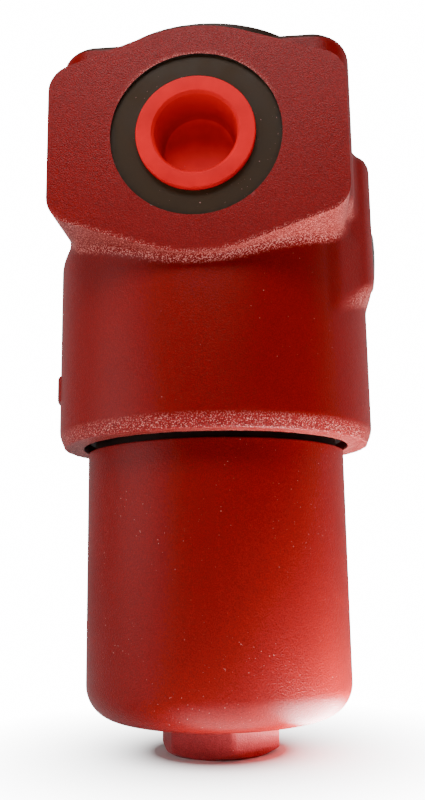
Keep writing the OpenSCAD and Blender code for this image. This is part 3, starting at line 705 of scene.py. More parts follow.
@dataclass
class Bowl:
    """The bowl: a cup turned from one piece, threaded at its neck, with a hexagon under its floor."""

    radius: float = 37.3
    cavity_r: float = 29.0
    floor_z: float = -191.5
    foot_z: float = -201.0
    cavity_z: float = -183.0
    seat_z: float = -108.0
    neck_z: float = -77.0
    thread_r: float = 35.4
    land_r: float = 34.25
    thread_top: float = -91.15
    pitch: float = 2.0
    thread_depth: float = 0.85
    inradius: float = 15.0
    turn: float = 16.7
    groove_low: float = -118.5
    groove_high: float = -115.0
    groove_r: float = 35.2
    columns: int = 240

    def hexagon_radius(self, angle: Array) -> Array:
        """Distance from the axis to the hexagon at an angle: the inradius over the cosine from the flat's middle."""
        corner = math.radians(self.turn - 90.0)
        local = (angle - corner) % (math.pi / 3) - math.pi / 6
        sharp = self.inradius / np.cos(local)
        limit = self.inradius * 2 / math.sqrt(3) - 0.35
        return np.minimum(sharp, limit)

    def profile(self) -> tuple[Array, int, int, int]:
        """The profile from the foot up the outside, over the neck and down the cavity.

        Returns:
            The rows, the number of hexagon rows at its start, and the first and last thread row.
        """
        hexagon = np.array([
            [0.0, self.foot_z, 0], [7.0, self.foot_z, 0], [1.0, self.foot_z, 1], [1.0, self.foot_z, 1],
            [1.0, self.foot_z, 1], [1.0, self.floor_z, 0], [1.0, self.floor_z, -1], [1.0, self.floor_z, -1],
            [1.0, self.floor_z, 0],
        ])
        lower = eased([
            (19.0, self.floor_z, 0), (self.radius, self.floor_z, 11.0), (self.radius, self.groove_low, 0.3),
            (self.groove_r, self.groove_low, 0.3), (self.groove_r, self.groove_high, 0.3),
            (self.radius, self.groove_high, 0.3), (self.radius, self.seat_z + 0.02, 0.5),
            (self.thread_r, self.seat_z + 0.02, 0.0),
        ], steps=14)
        rows = int((self.thread_top - self.seat_z - 1.4) / self.pitch * 8)
        height = np.linspace(self.seat_z + 1.0, self.thread_top - 0.4, rows)
        thread = np.stack([np.full(rows, self.thread_r), height, np.ones(rows)], -1)
        upper = eased([
            (self.thread_r, self.thread_top, 0), (self.land_r, -90.0, 0.2), (self.land_r, -85.0, 0.2),
            (31.3, -85.0, 0.2), (31.3, -80.0, 0.2), (self.land_r, -80.0, 0.2), (self.land_r, -78.0, 0.3),
            (self.land_r - 1.0, self.neck_z, 0.3), (self.cavity_r, self.neck_z, 0.5),
            (self.cavity_r, self.cavity_z, 7.0), (0.0, self.cavity_z, 0),
        ], steps=8)
        first = len(hexagon) + len(lower)
        return np.vstack([hexagon, lower, thread, upper]), len(hexagon), first, first + rows

    def shape(self) -> Shape:
        """The whole bowl as one turned surface. Its lowest rows follow the hexagon, and its neck rows the thread."""
        profile, hex_rows, first, last = self.profile()
        turned_r = self.inradius - 0.8
        rise = math.tan(math.radians(30.0))

        def carve(radius: Array, z: Array, angle: Array) -> tuple[Array, Array]:
            """Fits the lowest rows to the hexagon with its 30 degree chamfer, and cuts the thread at the neck."""
            radius, z = radius.copy(), z.copy()
            hexagon = self.hexagon_radius(angle[0])
            chamfer = self.foot_z + (hexagon - turned_r) * rise
            radius[2], z[2] = turned_r, self.foot_z
            radius[3], z[3] = hexagon - 0.2, chamfer - 0.12
            radius[4], z[4] = hexagon, chamfer + 0.2
            for row, (out, up) in zip(range(5, hex_rows), ((0.0, 1.2), (0.12, 0.6), (0.6, 0.12), (1.2, 0.0))):
                radius[row], z[row] = hexagon + out, self.floor_z - up
            rows = slice(first, last)
            fade = np.clip(np.minimum(z[rows] - self.seat_z - 1.0, self.thread_top - 0.4 - z[rows]) / 1.0, 0, 1)
            wave = thread_wave((z[rows] + self.pitch * angle[rows] / (2 * np.pi)) / self.pitch)
            radius[rows] -= self.thread_depth * np.maximum(wave * fade, 0.8 * (1.0 - fade))
            return radius, z

        return turned(profile, self.columns, radius_of=carve)

    def build(self) -> bpy.types.Object:
        """Makes the bowl: painted outside below its groove, near-black painted shade from the groove up to its seat, a
        lighter copy of the paint on the hexagon as painted light, and bare at the neck and inside.
        """
        shape = self.shape()
        regions = []
        for faces in shape.faces:
            x, y, z = shape.vertices[faces].mean(1).T
            inner = (np.hypot(x, y) < self.cavity_r + 0.6) & (z > self.cavity_z - 0.5)
            # painted shade: from the groove up to the seat the bowl is near-black, for the gap under the skirt
            region = np.where(z > self.groove_low, BowlRegion.GROOVE.value, BowlRegion.PAINT.value)
            # painted light: the hexagon gets a lighter copy of the red
            region = np.where(z < self.floor_z - 1.0, BowlRegion.HEXAGON.value, region)
            regions.append(np.where((z > self.seat_z - 0.1) | inner, BowlRegion.BARE.value, region))
        shape.regions = np.concatenate(regions)
        return shape.build("turned_bowl", 33.0)


@dataclass
class CupPlug:
    """The moulded cup plug in the inlet: flange, tapered recess with a soft lip, thin wall and gripping ribs."""

    face: float = 50.0
    seat: float = 48.2
    flange_r: float = 15.55
    mouth_r: float = 11.5
    floor_r: float = 9.9
    depth: float = 12.0
    wall: float = 1.2
    barrel_r: float = 11.4
    port_z: float = -41.0
    columns: int = 160

    def build(self) -> bpy.types.Object:
        """Turns the plug's profile about the inlet axis, from its back round the flange to the recess."""
        back = self.face - self.depth
        outside = [(0.0, back - self.wall, 0), (self.floor_r + 0.3, back - self.wall, 1.0)]
        for number in (3, 2, 1):
            rib, r = self.seat - 0.2 - 2.6 * number, self.barrel_r
            outside += [(r - 0.1, rib - 0.75, 0.15), (r + 0.6, rib, 0.2), (r, rib + 0.75, 0.15)]
        corners = outside + [
            (11.8, self.seat, 0.15), (self.flange_r, self.seat, 0.2), (self.flange_r, self.face, 0.45),
            (self.mouth_r, self.face, 0.35), (self.mouth_r - 0.72, self.face - 0.9, 0.5),
            (self.floor_r, back, 2.4), (0.0, back, 0),
        ]
        shape = turned(eased(corners, steps=9), self.columns, Axis.INLET, (0.0, self.port_z))
        x, y, z = shape.vertices.T
        radius = np.hypot(x, z - self.port_z)
        # painted shade: the recess walls darken with depth; its floor disc keeps the plain colour
        depth = np.where(radius < self.mouth_r - 0.2, self.face + y, 0.0)
        floor = (depth > self.depth - 1.0) & (radius < self.floor_r - 0.6)
        shape.recess = np.where(floor, 0.0, np.clip((depth - 0.5) / 3.0, 0.0, 1.0))
        return shape.build("cup_plug", 45.0)


@dataclass
class HexPlug:
    """The blanking plug: a turned flange with a hexagon socket, and its short thread."""

    face: float = 48.4
    flange_r: float = 9.5
    under: float = 45.4
    thread_r: float = 6.56
    end: float = 34.4
    socket: float = 3.0
    socket_floor: float = 43.4
    centre_z: float = -61.0
    columns: int = 96

    def build(self) -> bpy.types.Object:
        """Turns the plug about the boss axis. The rows of the socket follow r = inradius / cos(angle from a flat)."""
        profile = eased([
            (0.0, self.end, 0), (self.thread_r - 1.0, self.end, 0.2), (self.thread_r, self.end + 1.0, 0.3),
            (self.thread_r, self.under, 0.2), (self.flange_r, self.under, 0.2), (self.flange_r, self.face - 0.8, 0.3),
            (self.flange_r - 0.8, self.face, 0.3), (4.4, self.face, 0.15),
        ], steps=6)
        start = len(profile)
        floor = self.socket_floor
        socket = np.array([[3.6, self.face - 0.7, 0.5], [3.6, floor, 0], [0.0, floor - 0.8, 0]])

        def carve(radius: Array, z: Array, angle: Array) -> tuple[Array, Array]:
            """Gives the two socket rows the hexagon's radius."""
            radius = radius.copy()
            local = angle[0] % (math.pi / 3) - math.pi / 6
            radius[start] = radius[start + 1] = self.socket / np.cos(local)
            return radius, z

        shape = turned(np.vstack([profile, socket]), self.columns, Axis.RIGHT, (0.0, self.centre_z), radius_of=carve)
        return shape.build("hex_blanking_plug", 35.0)


# ---- shader groups and finishes ----


class Wiring:
    """Adds and joins the nodes of one tree."""

    def __init__(self, tree: bpy.types.NodeTree) -> None:
        """Keeps the tree."""
        self.tree = tree

    def add(self, kind: str, **settings: object) -> bpy.types.Node:
        """Adds a node of a kind and sets its properties."""
        node = self.tree.nodes.new("ShaderNode" + kind)
        for key, value in settings.items():
            setattr(node, key, value)
        return node

    def feed(self, socket: Socket, value: object) -> None:
        """Links a socket to another, or sets its number or colour."""
        if isinstance(value, bpy.types.NodeSocket):
            self.tree.links.new(value, socket)
        elif value is not None:
            socket.default_value = value

    def math(self, operation: str, a: object, b: object = None) -> Socket:
        """One step of arithmetic."""
        node = self.add("Math", operation=operation)
        self.feed(node.inputs[0], a)
        self.feed(node.inputs[1], b)
        return node.outputs[0]

    def spread(self, value: object, low: object, high: object, to_low: float = 0.0, to_high: float = 1.0) -> Socket:
        """Maps a range onto another and clamps it."""
        node = self.add("MapRange")
        for name, number in (("Value", value), ("From Min", low), ("From Max", high), ("To Min", to_low),
                             ("To Max", to_high)):
            self.feed(node.inputs[name], number)
        return node.outputs["Result"]

    def noise(self, vector: Socket, scale: object, detail: float = 2.0, rough: float = 0.5) -> Socket:
        """A noise value between about 0.2 and 0.8 at a scale in periods per metre."""
        node = self.add("TexNoise")
        for name, value in (("Vector", vector), ("Scale", scale), ("Detail", detail), ("Roughness", rough)):
            self.feed(node.inputs[name], value)
        return node.outputs["Fac"]

    def mix(self, share: object, a: object, b: object) -> Socket:
        """A colour between a and b."""
        node = self.add("Mix", data_type="RGBA")
        self.feed(node.inputs[0], share)
        self.feed(node.inputs[6], a)
        self.feed(node.inputs[7], b)
        return node.outputs[2]

    def bump(self, height: Socket, distance: float, normal: Optional[Socket] = None) -> Socket:
        """A normal from a height in which 1 stands for distance metres, on top of another normal."""
        node = self.add("Bump")
        for name, value in (("Strength", 1.0), ("Distance", distance), ("Height", height), ("Normal", normal)):
            self.feed(node.inputs[name], value)
        return node.outputs["Normal"]

    def parts(self, vector: Socket) -> tuple[Socket, Socket, Socket]:
        """The three coordinates of a vector."""
        node = self.add("SeparateXYZ")
        self.feed(node.inputs[0], vector)
        return tuple(node.outputs[k] for k in "XYZ")

    def length(self, a: Socket, b: Socket) -> Socket:
        """The length of the vector (a, b)."""
        return self.math("SQRT", self.math("ADD", self.math("MULTIPLY", a, a), self.math("MULTIPLY", b, b)))

    def position(self) -> Socket:
        """Object coordinates."""
        return self.add("TexCoord").outputs["Object"]

    def mask(self, name: str) -> Socket:
        """A value that the mesh carries at its vertices."""
        return self.add("Attribute", attribute_name=name).outputs["Fac"]


class Groups:
    """The shader node groups that several finishes share. Each is built once, when it is first asked for."""

    def start(self, name: str, outputs: Sequence[str], vector: Optional[str] = "Vector", **values: float) -> tuple:
        """A new group with named sockets.

        Args:
            name: the group's name.
            outputs: names of the outputs, which are all values.
            vector: name of its vector input, if it has one.
            **values: name and default of each input that is a number.

        Returns:
            The tree, its wiring, the outputs of its input node, and the inputs of its output node.
        """
        tree = bpy.data.node_groups.new(name, "ShaderNodeTree")
        if vector:
            tree.interface.new_socket(vector, in_out="INPUT", socket_type="NodeSocketVector")
        for label, default in values.items():
            tree.interface.new_socket(label, in_out="INPUT", socket_type="NodeSocketFloat").default_value = default
        for label in outputs:
            tree.interface.new_socket(label, in_out="OUTPUT", socket_type="NodeSocketFloat")
        source, sink = tree.nodes.new("NodeGroupInput"), tree.nodes.new("NodeGroupOutput")
        return tree, Wiring(tree), source.outputs, sink.inputs

    @cache
    def grain(self) -> bpy.types.NodeTree:
        """Cast grain: two sizes of noise, added as grain + share * coarse."""
        tree, wiring, given, out = self.start("cast grain", ["Height", "Mottle"], Scale=1500.0, Coarse=0.5)
        fine = wiring.noise(given["Vector"], given["Scale"], 1.5, 0.55)
        coarse = wiring.noise(given["Vector"], wiring.math("MULTIPLY", given["Scale"], 0.16), 2.0)
        wiring.feed(out["Height"], wiring.math("ADD", fine, wiring.math("MULTIPLY", coarse, given["Coarse"])))
        wiring.feed(out["Mottle"], wiring.noise(given["Vector"], 38.0, 4.0, 0.6))
        return tree

    @cache
    def dust(self) -> bpy.types.NodeTree:
        """Dust: a few light specks where a fine noise passes a threshold, thinned by a wide one."""
        tree, wiring, given, out = self.start("dust", ["Mask"], Scale=1800.0, Threshold=0.76)
        speck = wiring.noise(given["Vector"], given["Scale"], 1.0)
        wide = wiring.spread(wiring.noise(given["Vector"], 60.0, 2.0), 0.45, 0.62)
        above = wiring.spread(speck, given["Threshold"], wiring.math("ADD", given["Threshold"], 0.03))
        wiring.feed(out["Mask"], wiring.math("MULTIPLY", above, wide))
        return tree

    @cache
    def wear_and_shade(self) -> bpy.types.NodeTree:
        """Rubbed edges and painted shade: the mesh's edge and cavity values, broken up by noise; the cavity value
        darkens concave corners.
        """
        tree, wiring, given, out = self.start("wear_and_shade", ["Edge", "Cavity"], Amount=0.5)
        broken = wiring.noise(given["Vector"], 420.0, 4.0, 0.65)
        for label, low, high in (("edge", 0.42, 0.72), ("cavity", 0.25, 0.65)):
            patchy = wiring.math("MULTIPLY", wiring.mask(label), wiring.spread(broken, low, high))
            wiring.feed(out[label.capitalize()], wiring.math("MULTIPLY", patchy, given["Amount"]))
        return tree

    @cache
    def lathe_marks(self) -> bpy.types.NodeTree:
        """Tool marks: noise along one coordinate only, so that it runs round the turned surface as fine rings."""
        tree, wiring, given, out = self.start("lathe marks", ["Height"], None, Coordinate=0.0, Scale=2500.0)
        line = wiring.add("TexNoise", noise_dimensions="1D")
        wiring.feed(line.inputs["W"], wiring.math("MULTIPLY", given["Coordinate"], given["Scale"]))
        wiring.feed(line.inputs["Scale"], 1.0)
        wiring.feed(line.inputs["Detail"], 3.0)
        wiring.feed(out["Height"], line.outputs["Fac"])
        return tree


GROUPS = Groups()


@dataclass(frozen=True)
class Finish:
    """What every finish has: a name, a colour with its lighter and darker tones, how rough and how glossy it is."""

    name: str
    colour: tuple[float, float, float]
    roughness: float = 0.4
    gloss: float = field(default=0.5, kw_only=True)

    def tone(self, factor: float, grey: float = 0.0) -> tuple[float, float, float, float]:
        """The colour made lighter or darker, and mixed towards grey."""
        mean = sum(self.colour) / 3
        return (*(min(1.0, (c + (mean - c) * grey) * factor) for c in self.colour), 1.0)

    @staticmethod
    def shade(wiring: Wiring, colour: Socket, factor: float) -> Socket:
        """A colour of the surface multiplied by a factor."""
        node = wiring.add("VectorMath", operation="SCALE")
        wiring.feed(node.inputs[0], colour)
        node.inputs["Scale"].default_value = factor
        return node.outputs[0]

    def begin(self) -> tuple[bpy.types.Material, Wiring, bpy.types.Node]:
        """A new material with only its shader."""
        material = bpy.data.materials.new(self.name)
        material.use_nodes = True
        wiring = Wiring(material.node_tree)
        shader = material.node_tree.nodes["Principled BSDF"]
        shader.inputs["Base Color"].default_value = (*self.colour, 1.0)
        shader.inputs["Roughness"].default_value = self.roughness
        shader.inputs["Specular IOR Level"].default_value = self.gloss
        return material, wiring, shader

    @staticmethod
    def place(wiring: Wiring, tree: bpy.types.NodeTree, **values: object) -> bpy.types.Node:
        """Puts a shared group into the material with its own values."""
        node = wiring.tree.nodes.new("ShaderNodeGroup")
        node.node_tree = tree
        for key, value in values.items():
            wiring.feed(node.inputs[key], value)
        return node


@dataclass(frozen=True)
class Paint(Finish):
    """Sprayed paint over metal: grain, mottling, dust specks, painted shade in concave corners and lighter rubbed
    edges.

    Sparkle is how far the finest grains stand out in brightness; a further setting gives the share of pale grains,
    a painted highlight, on what faces down. Above a set height, in millimetres, the colour turns to dark bare metal,
    which on the block's top edges behind the flange is painted shade.
    """

    grain_scale: float = 1300.0
    grain_depth: float = 0.00009
    coarse: float = 0.6
    wear_and_shade: float = 0.35
    marks: float = 0.0
    specks: float = 0.79
    dark_above: Optional[float] = None
    sparkle: float = 0.28
    highlight_grains: float = 0.0

    def build(self) -> bpy.types.Material:
        """Wires the paint."""
        material, wiring, shader = self.begin()
        here = wiring.position()
        grain = self.place(wiring, GROUPS.grain(), Vector=here, Scale=self.grain_scale, Coarse=self.coarse)
        dust = self.place(wiring, GROUPS.dust(), Vector=here, Threshold=self.specks)
        wear_and_shade_node = self.place(wiring, GROUPS.wear_and_shade(), Vector=here, Amount=self.wear_and_shade)
        mottle = wiring.spread(grain.outputs["Mottle"], 0.3, 0.7)
        colour = wiring.mix(mottle, self.tone(0.94), self.tone(1.05))
        fine = wiring.spread(wiring.noise(here, self.grain_scale * 1.6, 1.0), 0.36, 0.64)
        colour = wiring.mix(fine, self.shade(wiring, colour, 1.0 - self.sparkle),
                            self.shade(wiring, colour, 1.0 + self.sparkle))
        # painted highlight: pale grains on faces that look down, as if lit from below
        if self.highlight_grains:
            pale = wiring.spread(wiring.noise(here, 3000.0, 1.0), 0.62 - 0.2 * self.highlight_grains, 0.67 - 0.2 * self.highlight_grains)
            colour = wiring.mix(wiring.math("MULTIPLY", pale, wiring.mask("under")), colour, PAINTED_HIGHLIGHT_GRAINS)
        # painted shade: concave corners darkened to 0.42 of the colour
        colour = wiring.mix(wear_and_shade_node.outputs["Cavity"], colour, self.tone(0.42, 0.1))
        colour = wiring.mix(wear_and_shade_node.outputs["Edge"], colour, self.tone(1.7, 0.12))
        colour = wiring.mix(dust.outputs["Mask"], colour, PAINT_DUST)
        # above a height the paint turns to dark bare metal; on the block's top edges behind the flange this is painted
        # shade
        if self.dark_above is not None:
            ragged = wiring.math("MULTIPLY_ADD", wiring.noise(here, 500.0, 3.0), 0.8 * MM)
            ragged.node.inputs[2].default_value = -0.4 * MM
            level = wiring.math("ADD", wiring.parts(here)[2], ragged)
            limit = self.dark_above * MM
            colour = wiring.mix(wiring.spread(level, limit, limit + 0.6 * MM), colour, BARE_METAL_AND_SHADE)
        wiring.feed(shader.inputs["Base Color"], colour)
        rough = wiring.spread(grain.outputs["Height"], 0.5, 1.1, self.roughness - 0.06, self.roughness + 0.1)
        wiring.feed(shader.inputs["Roughness"], rough)
        normal = wiring.bump(grain.outputs["Height"], self.grain_depth)
        if self.marks:
            rings = self.place(wiring, GROUPS.lathe_marks(), Coordinate=wiring.parts(here)[2], Scale=1500.0)
            normal = wiring.bump(rings.outputs["Height"], self.marks, normal)
        wiring.feed(shader.inputs["Normal"], normal)
        return material


class Lay(Enum):
    """How the tool marks of a machined surface run: rings about an axis, lines along it, or none."""

    RINGS_Z = "rings about z"
    RINGS_Y = "rings about y"
    RINGS_X = "rings about x"
    ALONG_Z = "round a turned wall"
    NONE = "none"


@dataclass(frozen=True)
class Metal(Finish):
    """Machined or plated metal: tool marks, blotches of oxide or oil, bright edges and painted shade in concave
    corners.
    """

    lay: Lay = Lay.NONE
    centre: tuple[float, float, float] = (0.0, 0.0, 0.0)
    metallic: float = 1.0
    marks: float = 0.000012
    marks_scale: float = 2500.0
    blotch: float = 0.35
    specks: float = 0.9

    def coordinate(self, wiring: Wiring, here: Socket) -> Socket:
        """Distance from the axis of the rings, or the place along it."""
        moved = wiring.add("VectorMath", operation="SUBTRACT")
        wiring.feed(moved.inputs[0], here)
        moved.inputs[1].default_value = [c * MM for c in self.centre]
        x, y, z = wiring.parts(moved.outputs[0])
        if self.lay == Lay.ALONG_Z:
            return z
        return wiring.length(*{Lay.RINGS_Z: (x, y), Lay.RINGS_Y: (x, z), Lay.RINGS_X: (y, z)}[self.lay])

    def build(self) -> bpy.types.Material:
        """Wires the metal."""
        material, wiring, shader = self.begin()
        here = wiring.position()
        shader.inputs["Metallic"].default_value = self.metallic
        wear_and_shade_node = self.place(wiring, GROUPS.wear_and_shade(), Vector=here, Amount=0.8)
        cloud = wiring.spread(wiring.noise(here, 130.0, 5.0, 0.62), 0.36, 0.66)
        colour = wiring.mix(cloud, self.tone(1.0 - self.blotch), self.tone(1.0 + 0.5 * self.blotch))
        colour = wiring.mix(wear_and_shade_node.outputs["Edge"], colour, self.tone(1.6, 0.3))
        # painted shade: concave corners darkened
        colour = wiring.mix(wear_and_shade_node.outputs["Cavity"], colour, self.tone(0.4))
        dust = self.place(wiring, GROUPS.dust(), Vector=here, Threshold=self.specks, Scale=1400.0)
        colour = wiring.mix(dust.outputs["Mask"], colour, METAL_DUST)
        wiring.feed(shader.inputs["Base Color"], colour)
        rough = wiring.spread(cloud, 0.0, 1.0, self.roughness - 0.05, self.roughness + 0.12)
        wiring.feed(shader.inputs["Roughness"], rough)
        if self.lay == Lay.NONE:
            height = wiring.noise(here, self.marks_scale, 3.0)
        else:
            along = self.coordinate(wiring, here)
            rings = self.place(wiring, GROUPS.lathe_marks(), Coordinate=along, Scale=self.marks_scale)
            height = rings.outputs["Height"]
        wiring.feed(shader.inputs["Normal"], wiring.bump(height, self.marks))
        return material


@dataclass(frozen=True)
class Moulding(Finish):
    """Moulded plastic or rubber: a soft gloss with faint flow marks, specks, a fine skin texture and painted shade
    deeper in a recess.
    """

    skin_scale: float = 900.0
    skin_depth: float = 0.00001
    spread: float = 0.12
    specks: float = 0.8
    recess_shade: float = 0.5

    def build(self) -> bpy.types.Material:
        """Wires the moulding."""
        material, wiring, shader = self.begin()
        here = wiring.position()
        flow = wiring.spread(wiring.noise(here, 120.0, 3.0), 0.3, 0.7)
        colour = wiring.mix(flow, self.tone(1.0 - self.spread), self.tone(1.0 + self.spread))
        wear_and_shade_node = self.place(wiring, GROUPS.wear_and_shade(), Vector=here, Amount=0.3)
        colour = wiring.mix(wear_and_shade_node.outputs["Edge"], colour, self.tone(1.35, 0.05))
        # painted shade: darker deeper in a recess
        colour = wiring.mix(wiring.mask("recess"), colour, self.tone(self.recess_shade))
        dust = self.place(wiring, GROUPS.dust(), Vector=here, Threshold=self.specks)
        colour = wiring.mix(dust.outputs["Mask"], colour, PLASTIC_DUST)
        wiring.feed(shader.inputs["Base Color"], colour)
        rough = wiring.spread(flow, 0, 1, self.roughness - 0.04, self.roughness + 0.06)
        wiring.feed(shader.inputs["Roughness"], rough)
        skin = wiring.noise(here, self.skin_scale, 3.0)
        wiring.feed(shader.inputs["Normal"], wiring.bump(skin, self.skin_depth))
        return material


@dataclass(frozen=True)
class Fibre(Finish):
    """Pleated glass-fibre medium: a fine mat of fibres held by a woven mesh."""

    def build(self) -> bpy.types.Material:
        """Wires the medium: two waves cross as the mesh, and a stretched noise is the mat."""
        material, wiring, shader = self.begin()
        here = wiring.position()
        mat = wiring.spread(wiring.noise(here, 2600.0, 4.0, 0.7), 0.3, 0.7)
        x, y, z = wiring.parts(here)
        round_about = wiring.math("MULTIPLY", wiring.math("ARCTAN2", y, x), 120.0)
        up = wiring.math("MULTIPLY", z, 4200.0)
        mesh = wiring.math("MAXIMUM", wiring.math("SINE", round_about), wiring.math("SINE", up))
        lines = wiring.spread(mesh, 0.75, 0.98)
        colour = wiring.mix(mat, self.tone(0.8), self.tone(1.1))
        colour = wiring.mix(wiring.math("MULTIPLY", lines, 0.45), colour, self.tone(0.55, 0.3))
        wiring.feed(shader.inputs["Base Color"], colour)
        wiring.feed(shader.inputs["Roughness"], wiring.spread(mat, 0, 1, 0.75, 0.92))
        height = wiring.math("ADD", mat, lines)
        wiring.feed(shader.inputs["Normal"], wiring.bump(height, 0.04 * MM))
        return material


@dataclass(frozen=True)
class Backdrop(Finish):
    """The pale floor, which the camera sees fade to plain white away from the object."""

    near: float = 0.018
    far: float = 0.09

    def build(self) -> bpy.types.Material:
        """Wires the floor: a matt sheet near the axis, and a white glow for the camera alone further out."""
        material, wiring, shader = self.begin()
        here = wiring.position()
        cloud = wiring.noise(here, 6.0, 2.0)
        wiring.feed(shader.inputs["Base Color"], wiring.mix(cloud, self.tone(0.985), self.tone(1.0)))
        away = wiring.length(*wiring.parts(here)[:2])
        seen = wiring.math("MULTIPLY", wiring.spread(away, self.near, self.far),
                           wiring.add("LightPath").outputs["Is Camera Ray"])
        glow = wiring.add("Emission")
        glow.inputs["Strength"].default_value = WHITE_GLOW
        both = wiring.add("MixShader")
        wiring.feed(both.inputs[0], seen)
        wiring.feed(both.inputs[1], shader.outputs[0])
        wiring.feed(both.inputs[2], glow.outputs[0])
        wiring.feed(material.node_tree.nodes["Material Output"].inputs[0], both.outputs[0])
        return material


# ---- the studio ----


@dataclass
class Studio:
    """Camera, floor and lights. The camera stands where the photograph was taken from."""

    focal_px: float = 866.0
    yaw: float = 4.92
    pitch: float = 10.66
    roll: float = -0.80
    eye: tuple[float, float, float] = (21.1, -254.22, -149.96)
    floor_z: float = -201.0

    def camera(self) -> None:
        """Places the camera: its axes are the yaw and pitch directions, turned by the roll about the view."""
        yaw, pitch, roll = (math.radians(a) for a in (self.yaw, self.pitch, self.roll))
        ahead = Vector((-math.sin(yaw) * math.cos(pitch), math.cos(yaw) * math.cos(pitch), math.sin(pitch)))
        level = Vector((math.cos(yaw), math.sin(yaw), 0.0))
        above = level.cross(ahead)
        right = level * math.cos(roll) + above * math.sin(roll)
        up = -level * math.sin(roll) + above * math.cos(roll)
        lens = bpy.data.cameras.new("photo_camera")
        lens.sensor_fit, lens.sensor_height, lens.sensor_width = "VERTICAL", 36.0, 36.0
        lens.lens = self.focal_px * lens.sensor_height / IMAGE_SIZE[1]
        lens.clip_start, lens.clip_end = 0.01, 50.0
        eye = bpy.data.objects.new("photo_camera", lens)
        bpy.context.scene.collection.objects.link(eye)
        turn = Matrix((right, up, -ahead)).transposed()
        eye.matrix_world = Matrix.Translation(Vector(self.eye) * MM) @ turn.to_4x4()
        bpy.context.scene.camera = eye

    def floor(self) -> None:
        """A wide round floor at the height of the bowl's foot: rings of growing radius, closed at the centre."""
        radius = np.array([0.0, 200.0, 600.0, 2000.0, 6000.0])
        sheet = turned(np.stack([radius, np.full(5, self.floor_z)], -1)[::-1], 64)
        piece = sheet.build("studio_floor")
        piece.data.materials.append(Backdrop("pale floor", (0.93, 0.93, 0.93), 0.6, gloss=0.2).build())

    def lamp(self, name: str, place: Sequence[float], aim: Sequence[float], size: tuple[float, float],
             power: float, mirrored: bool = True) -> None:
        """A soft oval lamp that the camera itself doesn't see.

        Args:
            name: name of the lamp.
            place: its centre in metres.
            aim: the point that it faces, in metres.
            size: its two diameters in metres.
            power: its power in watts.
            mirrored: whether glossy surfaces reflect it.
        """
        light = bpy.data.lights.new(name, "AREA")
        light.shape, light.size, light.size_y, light.energy = "ELLIPSE", size[0], size[1], power
        lamp = bpy.data.objects.new(name, light)
        bpy.context.scene.collection.objects.link(lamp)
        lamp.location = place
        lamp.rotation_euler = (Vector(aim) - Vector(place)).to_track_quat("-Z", "Y").to_euler()
        lamp.visible_camera = False
        lamp.visible_glossy = mirrored

    def sky(self) -> None:
        """A soft surround: white to the camera, and for light brighter behind the object than in front of it."""
        world = bpy.data.worlds.new("studio")
        bpy.context.scene.world = world
        world.use_nodes = True
        wiring = Wiring(world.node_tree)
        world.node_tree.nodes.clear()
        x, y, z = wiring.parts(wiring.add("TexCoord").outputs["Generated"])
        behind = wiring.spread(y, 0.0, 0.7, 0.02, 0.7)
        beside = wiring.spread(wiring.math("ABSOLUTE", x), 0.5, 0.95, 0.0, 0.1)
        above = wiring.spread(z, 0.3, 0.8, 0.0, 0.1)
        strength = wiring.math("ADD", wiring.math("ADD", behind, beside), above)
        soft, plain = wiring.add("Background"), wiring.add("Background")
        wiring.feed(soft.inputs["Strength"], strength)
        wiring.feed(plain.inputs["Color"], (1.0, 1.0, 1.0, 1.0))
        wiring.feed(plain.inputs["Strength"], WHITE_GLOW)
        both = wiring.add("MixShader")
        wiring.feed(both.inputs[0], wiring.add("LightPath").outputs["Is Camera Ray"])
        wiring.feed(both.inputs[1], soft.outputs[0])
        wiring.feed(both.inputs[2], plain.outputs[0])
        wiring.feed(wiring.add("OutputWorld").inputs[0], both.outputs[0])

    def build(self) -> None:
        """Sets up the whole studio."""
        self.camera()
        self.floor()
        self.sky()
        for lamp in (
            ("rim_right", (0.35, 0.16, 0.0), (0.0, 0.0, -0.06), (0.2, 0.3), 0.5, False),
            ("table_beside", (0.14, 0.02, -0.1995), (0.14, 0.02, 0.0), (0.14, 0.18), 0.5, False),
            ("table_under", (0.043, -0.016, -0.1995), (0.043, -0.016, 0.0), (0.036, 0.055), 0.23),
            ("table_ahead", (0.1, -0.13, -0.1995), (0.1, -0.13, 0.0), (0.12, 0.1), 0.04, False),
            ("table_near", (0.025, -0.046, -0.1995), (0.025, -0.046, 0.0), (0.08, 0.04), 0.045),
            ("front_high", (-0.02, -0.35, 0.28), (0.0, 0.0, -0.06), (0.5, 0.2), 2.5),
            ("fill_left", (-0.35, -0.18, -0.08), (0.0, 0.0, -0.1), (0.3, 0.3), 0.75),
        ):
            self.lamp(*lamp)


# ---- putting it together ----


